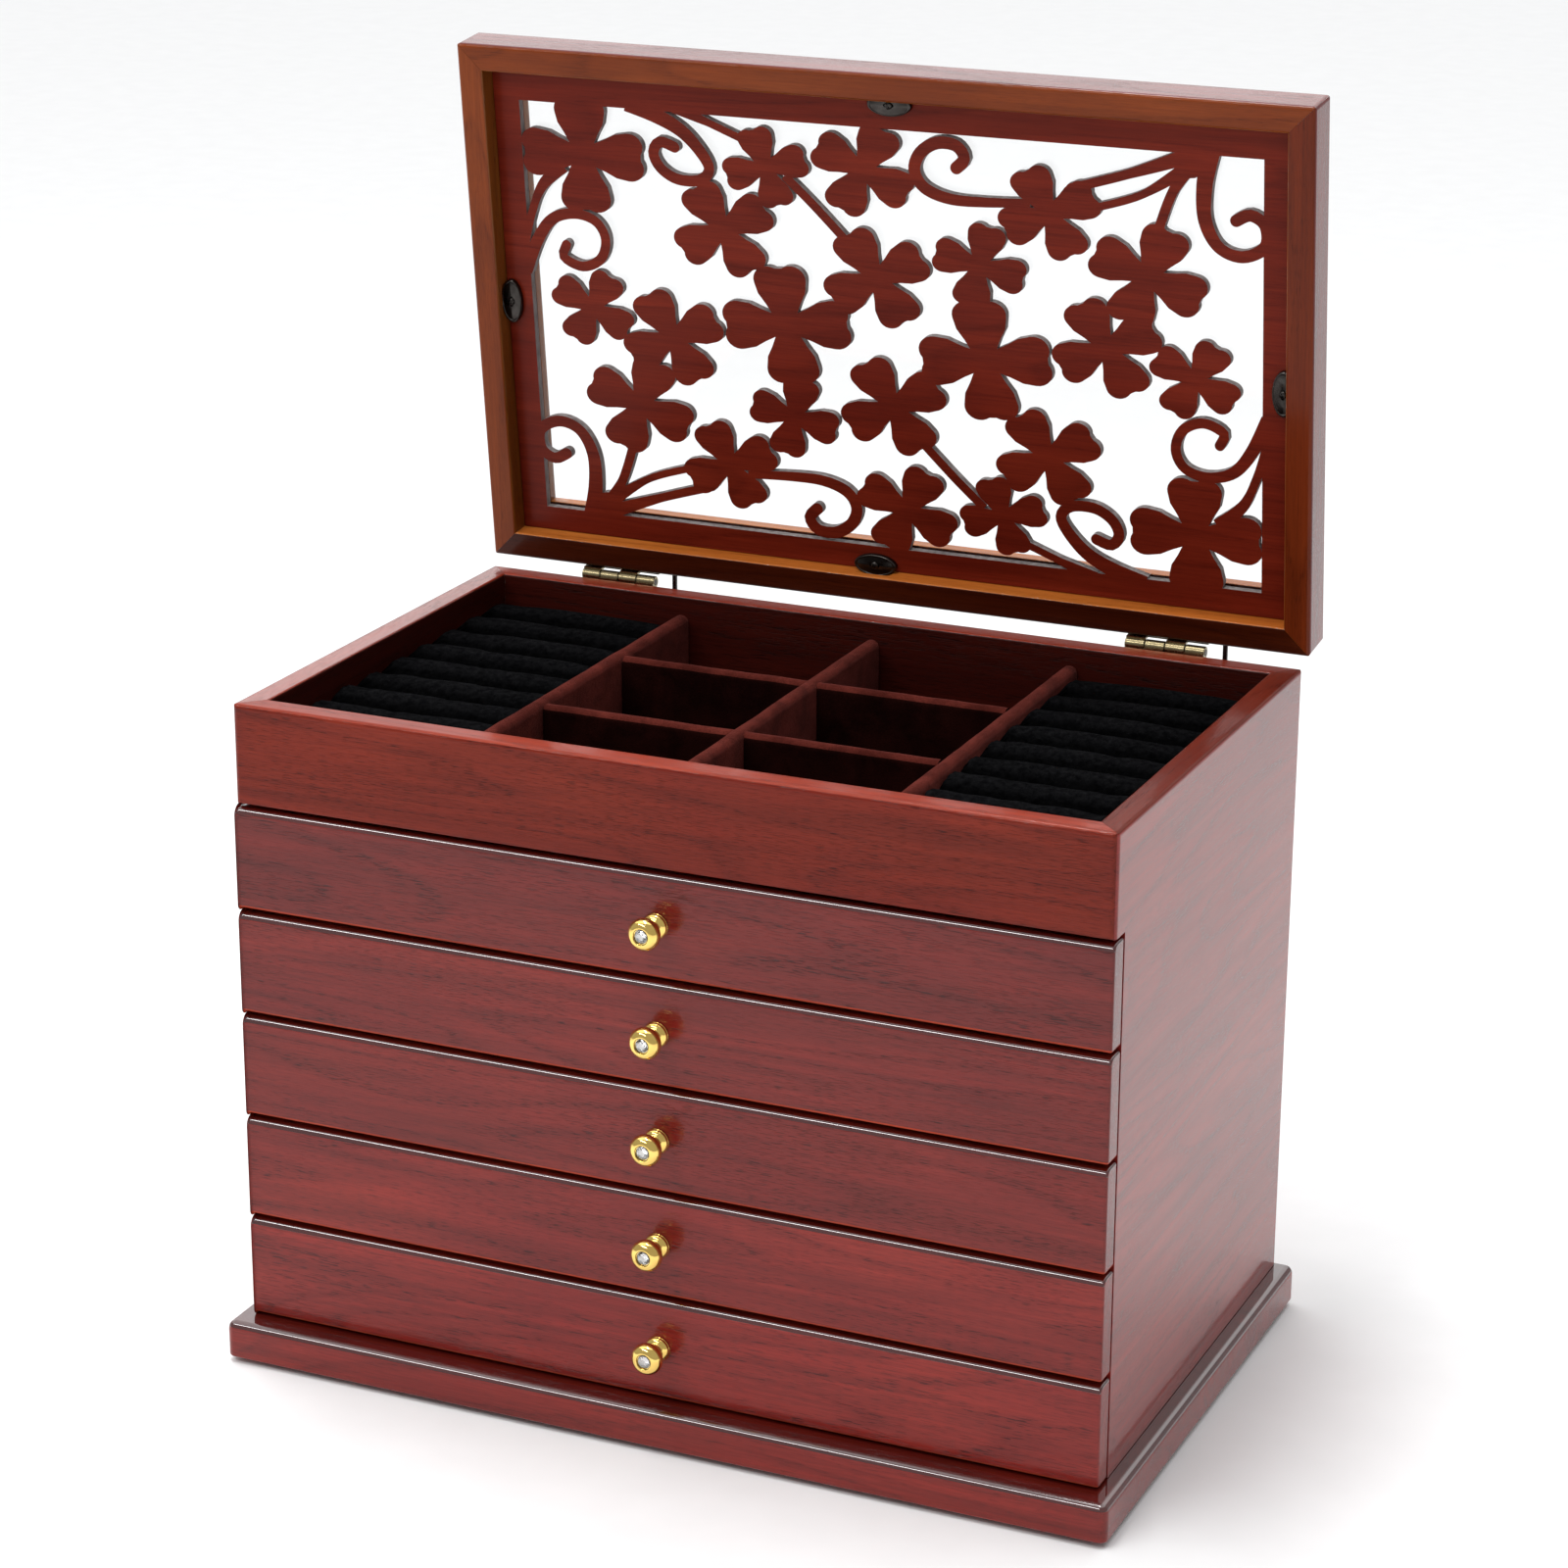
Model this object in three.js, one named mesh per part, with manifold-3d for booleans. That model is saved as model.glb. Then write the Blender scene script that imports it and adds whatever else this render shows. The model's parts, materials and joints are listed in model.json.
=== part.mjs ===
// A wooden jewellery chest: five drawers under an open tray, closed by a hinged lid with a
// clover fretwork panel. Millimetres, +Z up, +X to the right, the drawers open towards -Y.
// The origin is the middle of the plinth's footprint. The lid is drawn standing open.
import * as THREE from "three";
import { mergeVertices } from "three/addons/utils/BufferGeometryUtils.js";
import Module from "manifold-3d";

const wasm = await Module();
wasm.setup();

// ---------------------------------------------------------------- driving dimensions
const GAP = 0.3; // between pieces that touch
const WALL = 10; // side, back and tray-front boards
const BODY_W = 340;
const BODY_D = 204;
const BODY_H = 243.2; // from the plinth's top to the rim

const FELT_T = 1.8;
const FELT_INSET = 8;
const PLINTH_W = 354;
const PLINTH_D = 217;
const PLINTH_T = 14.5;
const PLINTH_LIP = 10.5; // how far the plinth stands in front of the drawers

const FRONT_Y = PLINTH_LIP - PLINTH_D / 2; // the face of the drawers
const BACK_Y = FRONT_Y + BODY_D;
const BODY_Z = FELT_T + GAP + PLINTH_T + GAP;
const RIM_Z = BODY_Z + BODY_H;

const TRAY_H = 38; // height of the tray's front board
const TRAY_Z = RIM_Z - TRAY_H;
const TRAY_FLOOR_T = 4;
const TRAY_FLOOR_Z = TRAY_Z + 0.8;
const LINING_Z = TRAY_FLOOR_Z + TRAY_FLOOR_T + GAP; // where the dividers stand

const DRAWERS = 5;
const DRAWER_PITCH = 41;
const DRAWER_RISE = 0.4; // lowest front above the plinth
const FRONT_H = 39.2;
const FRONT_T = 9.5;
const BOX_W = 317.2;
const BOX_D = 176;
const BOX_H = 33;
const BOX_WALL = 6;
const BOX_FLOOR = 3;
const BOX_RISE = 1.5; // drawer box above its front's lower edge
const SHELF_T = 3.5;
const SHELF_DROP = 2.65; // shelf underside below the next front's lower edge

const KNOB_LENGTH = 12.9;
const KNOB_HEAD_R = 6.2;
const KNOB_SEGMENTS = 12;
const GEM_R = 2.5;
const GEM_FACETS = 10;

const DIVIDER_X = 81.5; // outer long dividers, either side of the middle one
const DIVIDER_T = 6;
const DIVIDER_TOP = RIM_Z - 7.4;
const CROSS_TOP = RIM_Z - 8.2;
const CROSS_Y = [FRONT_Y + 70.5, FRONT_Y + 136.5];
const ROLLS = 9;
const ROLL_R = 9.6;
const ROLL_TOP = RIM_Z - 8.8;
const ROLL_STEPS = 8; // chords in one roll's half circle

const LID_W = 343;
const LID_D = 210.6;
const LID_T = 18.2;
const LID_REST = 0.6; // closed lid above the rim
const LID_OPEN = 83.5; // degrees from closed
const RAIL_W = 10.4;
const RAIL_LIP = 10.4; // the lip that holds the glass from outside
const LIP_DEPTH = 12.8; // from the rail's lower face to its lip
const FRET_DEPTH = 7.9;
const FRET_T = 3;
const GLASS_DEPTH = 11.2;
const GLASS_T = 1.3;

const AXIS_BACK = 3.2; // hinge axis behind the back board
const AXIS_Y = BACK_Y + AXIS_BACK;
const AXIS_Z = RIM_Z + 0.3;
const HINGE_X = 115;
const HINGE_L = 32;
const HINGE_KNUCKLES = 4;
const KNUCKLE_GAP = 0.3;
const BARREL_R = 2.4;
const PIN_R = 1.05;
const PIN_CLEARANCE = 0.3;
const LEAF_T = 0.9;
const LEAF_H = 15;
const LEAF_START = 2.9; // leaf edge from the hinge axis
const STOP_X = 22; // lid stop beside each hinge
const STOP_W = 1.7;
const STOP_T = 1.2;
const STOP_BACK = 4.2; // the stop hangs this far behind the hinge axis
const STOP_DROP = 6.4; // and reaches this far below it

const PLATE_A = 8.8; // half axes of the oval plates
const PLATE_B = 4.3;
const PLATE_TALL = 2.8;
const PLATE_TUCK = 1.9; // a plate reaches this far into a slot in the rail
const PLATE_SHIFTS = { front: 5.5, back: -6.5, left: -1, right: 5 }; // from the rail's middle
const SLOT_ROOM = 1.6; // free height over a plate in its slot
const SCREW_R = 1.5;

// ---------------------------------------------------------------- materials
const finish = (color, roughness, metalness = 0) =>
  new THREE.MeshStandardMaterial({ color, roughness, metalness });
const MAHOGANY = () => finish(0x7a2a22, 0.25);
const LID_WOOD = () => finish(0x6a2418, 0.25);
const CARCASS = () => finish(0x8a5a3c, 0.7);
const VELVET = () => finish(0x4a2018, 0.95);
const BLACK_VELVET = () => finish(0x0c0c0e, 0.95);
const FELT = () => finish(0x241814, 1);
const GOLD = () => finish(0xd8a63a, 0.15, 1);
const CRYSTAL = () => finish(0xdfe6ee, 0.05);
const ANTIQUE_BRASS = () => finish(0x8a7a48, 0.35, 1);
const GUNMETAL = () => finish(0x3a3a3c, 0.35, 1);
const GLASS = () => finish(0xf2f6f6, 0.05);

// ---------------------------------------------------------------- building blocks
function toSolid(geometry) {
  const bare = geometry.clone();
  bare.deleteAttribute("normal");
  bare.deleteAttribute("uv");
  const merged = mergeVertices(bare, 1e-4);
  const mesh = new wasm.Mesh({
    numProp: 3,
    vertProperties: merged.attributes.position.array,
    triVerts: new Uint32Array(merged.index.array),
  });
  return new wasm.Manifold(mesh);
}

function toGeometry(solid) {
  const { vertProperties, triVerts } = solid.getMesh();
  const geometry = new THREE.BufferGeometry();
  geometry.setAttribute("position", new THREE.BufferAttribute(vertProperties, 3));
  geometry.setIndex(new THREE.BufferAttribute(triVerts, 1));
  return geometry;
}

function join(geometries) {
  return toGeometry(geometries.map(toSolid).reduce((sum, next) => sum.add(next)));
}

function cut(geometry, holes) {
  return toGeometry(holes.map(toSolid).reduce((rest, hole) => rest.subtract(hole), toSolid(geometry)));
}

// A box between two corners.
function box(x0, x1, y0, y1, z0, z1) {
  const geometry = new THREE.BoxGeometry(x1 - x0, y1 - y0, z1 - z0);
  return geometry.translate((x0 + x1) / 2, (y0 + y1) / 2, (z0 + z1) / 2);
}

// A prism: [x, y] corners, pushed up +Z from z0 by height.
function prism(corners, z0, height) {
  const shape = new THREE.Shape(corners.map(([x, y]) => new THREE.Vector2(x, y)));
  const settings = { depth: height, bevelEnabled: false };
  return new THREE.ExtrudeGeometry(shape, settings).translate(0, 0, z0);
}

// A prism along X: [y, z] corners between x0 and x1.
function prismX(corners, x0, x1) {
  const shape = new THREE.Shape(corners.map(([y, z]) => new THREE.Vector2(y, z)));
  const geometry = new THREE.ExtrudeGeometry(shape, { depth: x1 - x0, bevelEnabled: false });
  return geometry.rotateY(Math.PI / 2).rotateX(Math.PI / 2).translate(x0, 0, 0);
}

// A cylinder along X, centred on the hinge axis or wherever it is moved to.
function rodX(radius, x0, x1, segments) {
  const geometry = new THREE.CylinderGeometry(radius, radius, x1 - x0, segments);
  return geometry.rotateZ(Math.PI / 2).translate((x0 + x1) / 2, 0, 0);
}

const group = new THREE.Group();

function add(name, geometry, material, parent = group) {
  const mesh = new THREE.Mesh(geometry, material());
  mesh.name = name;
  parent.add(mesh);
  return mesh;
}

// ---------------------------------------------------------------- the case
function buildPlinth() {
  const x = PLINTH_W / 2;
  const y = PLINTH_D / 2;
  const felt = box(-x + FELT_INSET, x - FELT_INSET, -y + FELT_INSET, y - FELT_INSET, 0, FELT_T);
  add("base_felt", felt, FELT);
  add("plinth", box(-x, x, -y, y, FELT_T + GAP, FELT_T + GAP + PLINTH_T), MAHOGANY);
}

// side is -1 for the left board and 1 for the right one. Its back edge is mitred all the way
// up; beside the tray its front edge is mitred as well, and below it makes room for the fronts.
function sideBoard(side) {
  const outer = (side * BODY_W) / 2;
  const inner = outer - side * WALL;
  const back = [
    [outer, FRONT_Y + WALL],
    [outer, BACK_Y],
    [inner, BACK_Y - WALL],
    [inner, FRONT_Y + WALL],
  ];
  const frontCorner = [
    [outer, FRONT_Y + GAP],
    [outer, FRONT_Y + WALL],
    [inner, FRONT_Y + WALL],
  ];
  return join([prism(back, BODY_Z, BODY_H), prism(frontCorner, TRAY_Z, TRAY_H)]);
}

function mitredBoard(yOuter, yInner, z0, height) {
  const outer = BODY_W / 2 - GAP;
  const inner = BODY_W / 2 - WALL - GAP;
  const corners = [
    [-outer, yOuter],
    [outer, yOuter],
    [inner, yInner],
    [-inner, yInner],
  ];
  return prism(corners, z0, height);
}

function buildCase() {
  add("side_left", sideBoard(-1), MAHOGANY);
  add("side_right", sideBoard(1), MAHOGANY);
  add("back_panel", mitredBoard(BACK_Y, BACK_Y - WALL, BODY_Z, BODY_H), MAHOGANY);
  add("tray_front", mitredBoard(FRONT_Y, FRONT_Y + WALL, TRAY_Z, TRAY_H), MAHOGANY);
  const x = BODY_W / 2 - WALL - GAP;
  const y0 = FRONT_Y + WALL + GAP;
  const y1 = BACK_Y - WALL - GAP;
  const floor = box(-x, x, y0, y1, TRAY_FLOOR_Z, TRAY_FLOOR_Z + TRAY_FLOOR_T);
  add("tray_floor", floor, CARCASS);
  for (let i = 1; i < DRAWERS; i++) {
    const z = drawerZ(i) - SHELF_DROP;
    add(`drawer_shelf_${i}`, box(-x, x, y0, y1, z, z + SHELF_T), CARCASS);
  }
}

// ---------------------------------------------------------------- the tray's fittings
// Long dividers run from front to back. The middle one has a notch from below for each cross
// divider, and each cross divider has a notch from above for the middle one.
function buildDividers() {
  const half = DIVIDER_T / 2;
  const y0 = FRONT_Y + WALL + GAP;
  const y1 = BACK_Y - WALL - GAP;
  const long = (x) => box(x - half, x + half, y0, y1, LINING_Z, DIVIDER_TOP);
  const halfNotch = half + GAP;
  const meet = (LINING_Z + CROSS_TOP) / 2;
  const crossNotches = CROSS_Y.map((y) =>
    box(-halfNotch, halfNotch, y - halfNotch, y + halfNotch, LINING_Z - 1, meet + GAP / 2),
  );
  add("divider_left", long(-DIVIDER_X), VELVET);
  add("divider_middle", cut(long(0), crossNotches), VELVET);
  add("divider_right", long(DIVIDER_X), VELVET);
  const reach = DIVIDER_X - half - GAP;
  CROSS_Y.forEach((y, i) => {
    const bar = box(-reach, reach, y - half, y + half, LINING_Z, CROSS_TOP);
    const notch = box(-halfNotch, halfNotch, y - DIVIDER_T, y + DIVIDER_T, meet - GAP / 2, RIM_Z);
    add(i === 0 ? "cross_divider_front" : "cross_divider_rear", cut(bar, [notch]), VELVET);
  });
}

// A bank of ring rolls: half circles side by side on a common base.
function ringRolls(x0, x1) {
  const y0 = FRONT_Y + WALL + GAP;
  const pitch = (BACK_Y - WALL - GAP - y0) / ROLLS;
  const zAxis = ROLL_TOP - ROLL_R;
  const corners = [
    [y0, LINING_Z],
    [y0 + ROLLS * pitch, LINING_Z],
  ];
  for (let roll = ROLLS - 1; roll >= 0; roll--) {
    for (let i = 0; i <= ROLL_STEPS; i++) {
      const turn = (Math.PI * i) / ROLL_STEPS;
      const y = y0 + (roll + 0.5) * pitch + (pitch / 2) * Math.cos(turn);
      const repeatsLast = i === 0 && roll < ROLLS - 1;
      if (!repeatsLast) corners.push([y, zAxis + ROLL_R * Math.sin(turn)]);
    }
  }
  return prismX(corners, x0, x1);
}

function buildRingRolls() {
  const wallX = BODY_W / 2 - WALL - GAP;
  const dividerX = DIVIDER_X + DIVIDER_T / 2 + GAP;
  add("ring_rolls_left", ringRolls(-wallX, -dividerX), BLACK_VELVET);
  add("ring_rolls_right", ringRolls(dividerX, wallX), BLACK_VELVET);
}

// ---------------------------------------------------------------- the drawers
// Height of a drawer front's lower edge; 0 is the lowest drawer.
function drawerZ(i) {
  return BODY_Z + DRAWER_RISE + i * DRAWER_PITCH;
}

function drawerBox(z) {
  const x = BOX_W / 2;
  const y0 = FRONT_Y + FRONT_T + GAP;
  const z0 = z + BOX_RISE;
  const outside = box(-x, x, y0, y0 + BOX_D, z0, z0 + BOX_H);
  const hollow = box(
    -x + BOX_WALL,
    x - BOX_WALL,
    y0 - 1,
    y0 + BOX_D - BOX_WALL,
    z0 + BOX_FLOOR,
    z0 + BOX_H + 1,
  );
  return cut(outside, [hollow]);
}

// Turned knob: a collar, a waist and a flattened head with a seat for the stone.
function knob() {
  const seat = KNOB_LENGTH - 0.8;
  const profile = [
    [0, GAP],
    [4.6, GAP],
    [4.3, 2.3],
    [3, 3.6],
    [3, 5.6],
    [5.2, 7.4],
    [KNOB_HEAD_R, 9.2],
    [KNOB_HEAD_R, 10.4],
    [4.9, 12.2],
    [3, KNOB_LENGTH],
    [GEM_R + GAP, KNOB_LENGTH],
    [GEM_R + GAP, seat],
    [0, seat],
  ];
  const points = profile.map(([r, along]) => new THREE.Vector2(r, along));
  return new THREE.LatheGeometry(points, KNOB_SEGMENTS).rotateX(Math.PI);
}

// A cut stone: a girdle with a crown that narrows to a flat table.
function gem() {
  const girdle = KNOB_LENGTH - 0.5;
  const profile = [
    [0, girdle],
    [GEM_R, girdle],
    [GEM_R, girdle + 0.5],
    [GEM_R * 0.55, girdle + 1.4],
    [0, girdle + 1.4],
  ];
  const points = profile.map(([r, along]) => new THREE.Vector2(r, along));
  return new THREE.LatheGeometry(points, GEM_FACETS).rotateX(Math.PI);
}

// Drawer 1 is the highest.
function buildDrawers() {
  for (let i = 0; i < DRAWERS; i++) {
    const name = `drawer_${DRAWERS - i}`;
    const z = drawerZ(i);
    const x = BODY_W / 2;
    add(`${name}_front`, box(-x, x, FRONT_Y, FRONT_Y + FRONT_T, z, z + FRONT_H), MAHOGANY);
    add(`${name}_box`, drawerBox(z), CARCASS);
    add(`${name}_knob`, knob(), GOLD).position.set(0, FRONT_Y, z + FRONT_H / 2);
    add(`${name}_gem`, gem(), CRYSTAL).position.set(0, FRONT_Y, z + FRONT_H / 2);
  }
}

// ---------------------------------------------------------------- the lid
// The lid is drawn closed, in a group whose origin is the hinge axis, and then swung open.
// Inside the group its lower face is at LID_Z and its back face at LID_Y.
const LID_Z = RIM_Z + LID_REST - AXIS_Z;
const LID_Y = BACK_Y - AXIS_Y;

// One rail between two mitres, drawn along X with its outer face at y = 0, then turned.
function rail(length) {
  const z = LID_Z;
  const section = [
    [0, z],
    [RAIL_W, z],
    [RAIL_W, z + LIP_DEPTH],
    [RAIL_W + RAIL_LIP, z + LIP_DEPTH],
    [RAIL_W + RAIL_LIP, z + LID_T],
    [0, z + LID_T],
  ];
  const bar = prismX(section, -length / 2, length / 2);
  const reach = RAIL_W + RAIL_LIP + 1;
  const trim = (side) => {
    const end = (side * length) / 2 - side * GAP * 0.5;
    const corners = [
      [end, 0],
      [end + side * reach, 0],
      [end + side * reach, reach],
      [end - side * reach, reach],
    ];
    return prism(corners, z - 1, LID_T + 2);
  };
  const edge = box(-length, length, -1, 0, z - 1, z + LID_T + 1);
  return cut(bar, [trim(-1), trim(1), edge]);
}

// ---- the fretwork pattern, drawn from the middle of the panel's window
const WINDOW_W = 300;
const WINDOW_D = 167.4;
const WINDOW_SHIFT = -1.3; // window centre from the lid's centre, towards the hinges
const CLOVER_FLAT = 0.88; // height of a clover for its width
const LOBE_STEPS = 4; // chords in one lobe of a leaf
const STROKE_STEP = 4.5; // length of one chord of a scroll

// One half of the pattern; the other half is the same turned by half a turn.
// Each clover: centre x and y, radius, angle of its first leaf in degrees.
const CLOVERS = [
  [-124, 64, 26, 1],
  [-65.5, 39.1, 21.7, 32],
  [-46.8, 65, 17.7, 17],
  [-7, 67.2, 21, 63],
  [-2.6, 25.4, 22.4, 31],
  [-40.8, 3.2, 26.6, 6],
  [-89.4, -6.6, 22, 29],
  [-123.8, 2.3, 18, 60],
  [-105.6, -35.8, 23, 67],
  [-67.4, -56.8, 20.4, 27],
  [-39.2, -34, 18.6, 76],
];

// Each scroll or stem: width at its root and at its tip, then the points of its centre line.
const STROKES = [
  // curl under the corner clover, and the stem beside it
  [
    5.4, 4,
    [-152, 15], [-146, 28], [-139, 37], [-129, 40], [-120, 37.5], [-116.3, 30.5], [-119, 22.5],
    [-127, 18.8], [-135, 22], [-133.5, 27],
  ],
  [6, 3.4, [-133, 59], [-142.5, 50], [-148, 38], [-151.5, 26]],
  // curl hanging from the frame, and the stem to the small clover
  [
    7, 4.4,
    [-104, 86], [-92, 82], [-81.5, 76.8], [-74, 69.5], [-70.3, 62.5], [-74.5, 57.8],
    [-84, 57.5], [-91, 61.5], [-93.6, 67.3], [-90.5, 71.6], [-84.5, 70],
  ],
  [5.5, 3, [-84, 86], [-68, 80], [-55, 75]],
  // diagonal stem between two clovers
  [3.6, 3.6, [-39, 62.5], [-27, 51.5], [-14, 38.5]],
  // the corner sprays: a curl, and three stems
  [
    7, 4.6,
    [-130, -85], [-127.5, -72], [-127.8, -59], [-133, -49.5], [-142, -46.6], [-150.5, -51],
    [-150.5, -59], [-145, -62.5], [-139.5, -60],
  ],
  [12, 9, [-123, -88], [-122.5, -79]],
  [7, 3.8, [-125, -84], [-115.5, -69], [-109.5, -53]],
  [5.5, 3, [-122, -79], [-104, -67], [-86, -60.5]],
  [6, 3.6, [-121, -82.5], [-98, -74], [-76, -67]],
  // the long scroll that ends in a curl on the frame
  [
    3.2, 4.8,
    [-60, -60], [-42, -58.8], [-28, -59], [-18, -62.5], [-14.2, -69], [-16.8, -75.8],
    [-23.5, -80], [-31, -79.6], [-34.3, -75], [-31, -71],
  ],
];

// A clover has four heart-shaped leaves. A leaf starts in the notch beside it, runs over its
// two round lobes and ends in the next notch.
function cloverOutline([x, y, radius, angle]) {
  const notch = 0.3 * radius;
  const lobeR = 0.23 * radius;
  const lobeAlong = radius - lobeR;
  const lobeAside = 0.185 * radius;
  const points = [];
  const put = (turn, along, aside) => {
    const c = Math.cos(turn);
    const s = Math.sin(turn);
    points.push([x + along * c - aside * s, y + CLOVER_FLAT * (along * s + aside * c)]);
  };
  for (let leaf = 0; leaf < 4; leaf++) {
    const turn = ((angle + 90 * leaf) * Math.PI) / 180;
    put(turn - Math.PI / 4, notch, 0);
    for (const side of [-1, 1]) {
      for (let i = 0; i <= LOBE_STEPS; i++) {
        // the first lobe is drawn from its outer side to the cleft, the second back again
        const share = i / LOBE_STEPS;
        const a = side < 0 ? -1.9 + 2.5 * share : -0.6 + 2.5 * share;
        put(turn, lobeAlong + lobeR * Math.cos(a), side * lobeAside + lobeR * Math.sin(a));
      }
    }
  }
  return points;
}

// A stroke of changing width along a smooth curve, with a round tip.
function strokeOutline([rootWidth, tipWidth, ...line]) {
  const points = line.map(([x, y]) => new THREE.Vector3(x, y, 0));
  const curve = new THREE.CatmullRomCurve3(points, false, "centripetal");
  const steps = Math.max(3, Math.round(curve.getLength() / STROKE_STEP));
  const left = [];
  const right = [];
  for (let i = 0; i <= steps; i++) {
    const share = i / steps;
    const at = curve.getPointAt(share);
    const along = curve.getTangentAt(share);
    const half = (rootWidth + (tipWidth - rootWidth) * Math.min(1, share * 2)) / 2;
    left.push([at.x - along.y * half, at.y + along.x * half]);
    right.unshift([at.x + along.y * half, at.y - along.x * half]);
  }
  const end = curve.getPointAt(1);
  const ahead = curve.getTangentAt(1).multiplyScalar(tipWidth / 2);
  return [...right, ...left, [end.x + ahead.x, end.y + ahead.y]];
}

function turned(outline) {
  return outline.map(([x, y]) => [-x, -y]);
}

// The whole panel lies flat, its lower face at z = 0 and the window's centre at the origin.
// The pattern is seen from below, so its y runs towards -Y, away from the hinges.
function fretwork(panelW, y0, y1) {
  const x = panelW / 2;
  const sheet = box(-x, x, y0, y1, 0, FRET_T);
  const window = box(-WINDOW_W / 2, WINDOW_W / 2, -WINDOW_D / 2, WINDOW_D / 2, -1, FRET_T + 1);
  const half = [...CLOVERS.map(cloverOutline), ...STROKES.map(strokeOutline)];
  const all = [...half, ...half.map(turned)];
  const seenFromBelow = (outline) => outline.map(([x, y]) => [x, -y]);
  const pieces = all.map((outline) => toSolid(prism(seenFromBelow(outline), 0, FRET_T)));
  const pattern = pieces.reduce((sum, next) => sum.add(next));
  const trimmed = pattern.intersect(toSolid(sheet));
  return toGeometry(toSolid(sheet).subtract(toSolid(window)).add(trimmed));
}

// An oval plate with a domed face and a hole for its screw.
function ovalPlate() {
  const profile = [
    [0, 0],
    [1, 0],
    [1, 0.45],
    [0.86, 0.72],
    [0.5, 0.93],
    [0, 1],
  ];
  const points = profile.map(([r, up]) => new THREE.Vector2(r, up * PLATE_TALL));
  const dome = new THREE.LatheGeometry(points, 20).rotateX(Math.PI / 2).scale(PLATE_A, PLATE_B, 1);
  const hole = new THREE.CylinderGeometry(SCREW_R + GAP, SCREW_R + GAP, PLATE_TALL, 12);
  hole.rotateX(Math.PI / 2).translate(0, 0, PLATE_TALL);
  return cut(dome, [hole]);
}

// A small domed screw head with a cross recess; it lies in the plate's hole.
function screw() {
  const base = PLATE_TALL / 2 + GAP;
  const profile = [
    [0, base],
    [SCREW_R, base],
    [SCREW_R, PLATE_TALL - 0.5],
    [SCREW_R * 0.6, PLATE_TALL],
    [0, PLATE_TALL + 0.1],
  ];
  const points = profile.map(([r, up]) => new THREE.Vector2(r, up));
  const head = new THREE.LatheGeometry(points, 12).rotateX(Math.PI / 2);
  const arm = SCREW_R * 0.55;
  const slot = 0.25;
  const floor = PLATE_TALL - 0.7;
  const recess = [
    box(-arm, arm, -slot, slot, floor, PLATE_TALL + 1),
    box(-slot, slot, -arm, arm, floor, PLATE_TALL + 1),
  ];
  return cut(head, recess);
}

// Middle of a plate, in from the outside of the lid.
const PLATE_IN = RAIL_W + GAP + PLATE_B - PLATE_TUCK;

// The slot for a plate in the inner wall of a rail, in the rail's own frame.
function plateSlot(at) {
  const top = LID_Z + FRET_DEPTH;
  const low = top - GAP - PLATE_TALL - SLOT_ROOM;
  const slot = new THREE.CylinderGeometry(1, 1, top - low, 28).rotateX(Math.PI / 2);
  slot.scale(PLATE_A + GAP, PLATE_B + GAP, 1);
  return slot.translate(at, PLATE_IN, (top + low) / 2);
}

function buildLid() {
  const lid = new THREE.Group();
  lid.position.set(0, AXIS_Y, AXIS_Z);
  lid.rotation.x = (-LID_OPEN * Math.PI) / 180;
  group.add(lid);
  const centreY = LID_Y - LID_D / 2;

  const place = (name, length, turn, x, y, plateAt) => {
    const slotted = cut(rail(length), [plateSlot(plateAt)]);
    const mesh = add(name, slotted, LID_WOOD, lid);
    mesh.rotation.z = turn;
    mesh.position.set(x, y, 0);
  };
  const shifts = PLATE_SHIFTS;
  place("lid_rail_front", LID_W, 0, 0, LID_Y - LID_D, shifts.front);
  place("lid_rail_back", LID_W, Math.PI, 0, LID_Y, -shifts.back);
  place("lid_rail_left", LID_D, -Math.PI / 2, -LID_W / 2, centreY, -shifts.left);
  place("lid_rail_right", LID_D, Math.PI / 2, LID_W / 2, centreY, shifts.right);

  const panelX = LID_W / 2 - RAIL_W - GAP;
  const panelY = LID_D / 2 - RAIL_W - GAP;
  const glassZ = LID_Z + GLASS_DEPTH;
  const glass = box(-panelX, panelX, centreY - panelY, centreY + panelY, glassZ, glassZ + GLASS_T);
  add("lid_glass", glass, GLASS, lid);

  // the window's centre lies towards the hinges, so the panel reaches further the other way
  const shift = -WINDOW_SHIFT;
  const panel = fretwork(2 * panelX, -panelY - shift, panelY - shift);
  add("lid_fretwork", panel, LID_WOOD, lid).position.set(0, centreY + shift, LID_Z + FRET_DEPTH);

  const plateX = LID_W / 2 - PLATE_IN;
  const plateY = LID_D / 2 - PLATE_IN;
  const plates = [
    ["front", shifts.front, centreY - plateY, 0],
    ["back", shifts.back, centreY + plateY, 0],
    ["left", -plateX, centreY + shifts.left, Math.PI / 2],
    ["right", plateX, centreY + shifts.right, Math.PI / 2],
  ];
  // a plate lies on the inner face of the fretwork, so its dome points down into the box
  for (const [name, x, y, turn] of plates) {
    const seat = new THREE.Group();
    seat.position.set(x, y, LID_Z + FRET_DEPTH - GAP);
    seat.rotation.set(Math.PI, 0, turn);
    lid.add(seat);
    add(`lid_plate_${name}`, ovalPlate(), GUNMETAL, seat);
    add(`lid_screw_${name}`, screw(), GUNMETAL, seat);
  }
  return lid;
}

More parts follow.
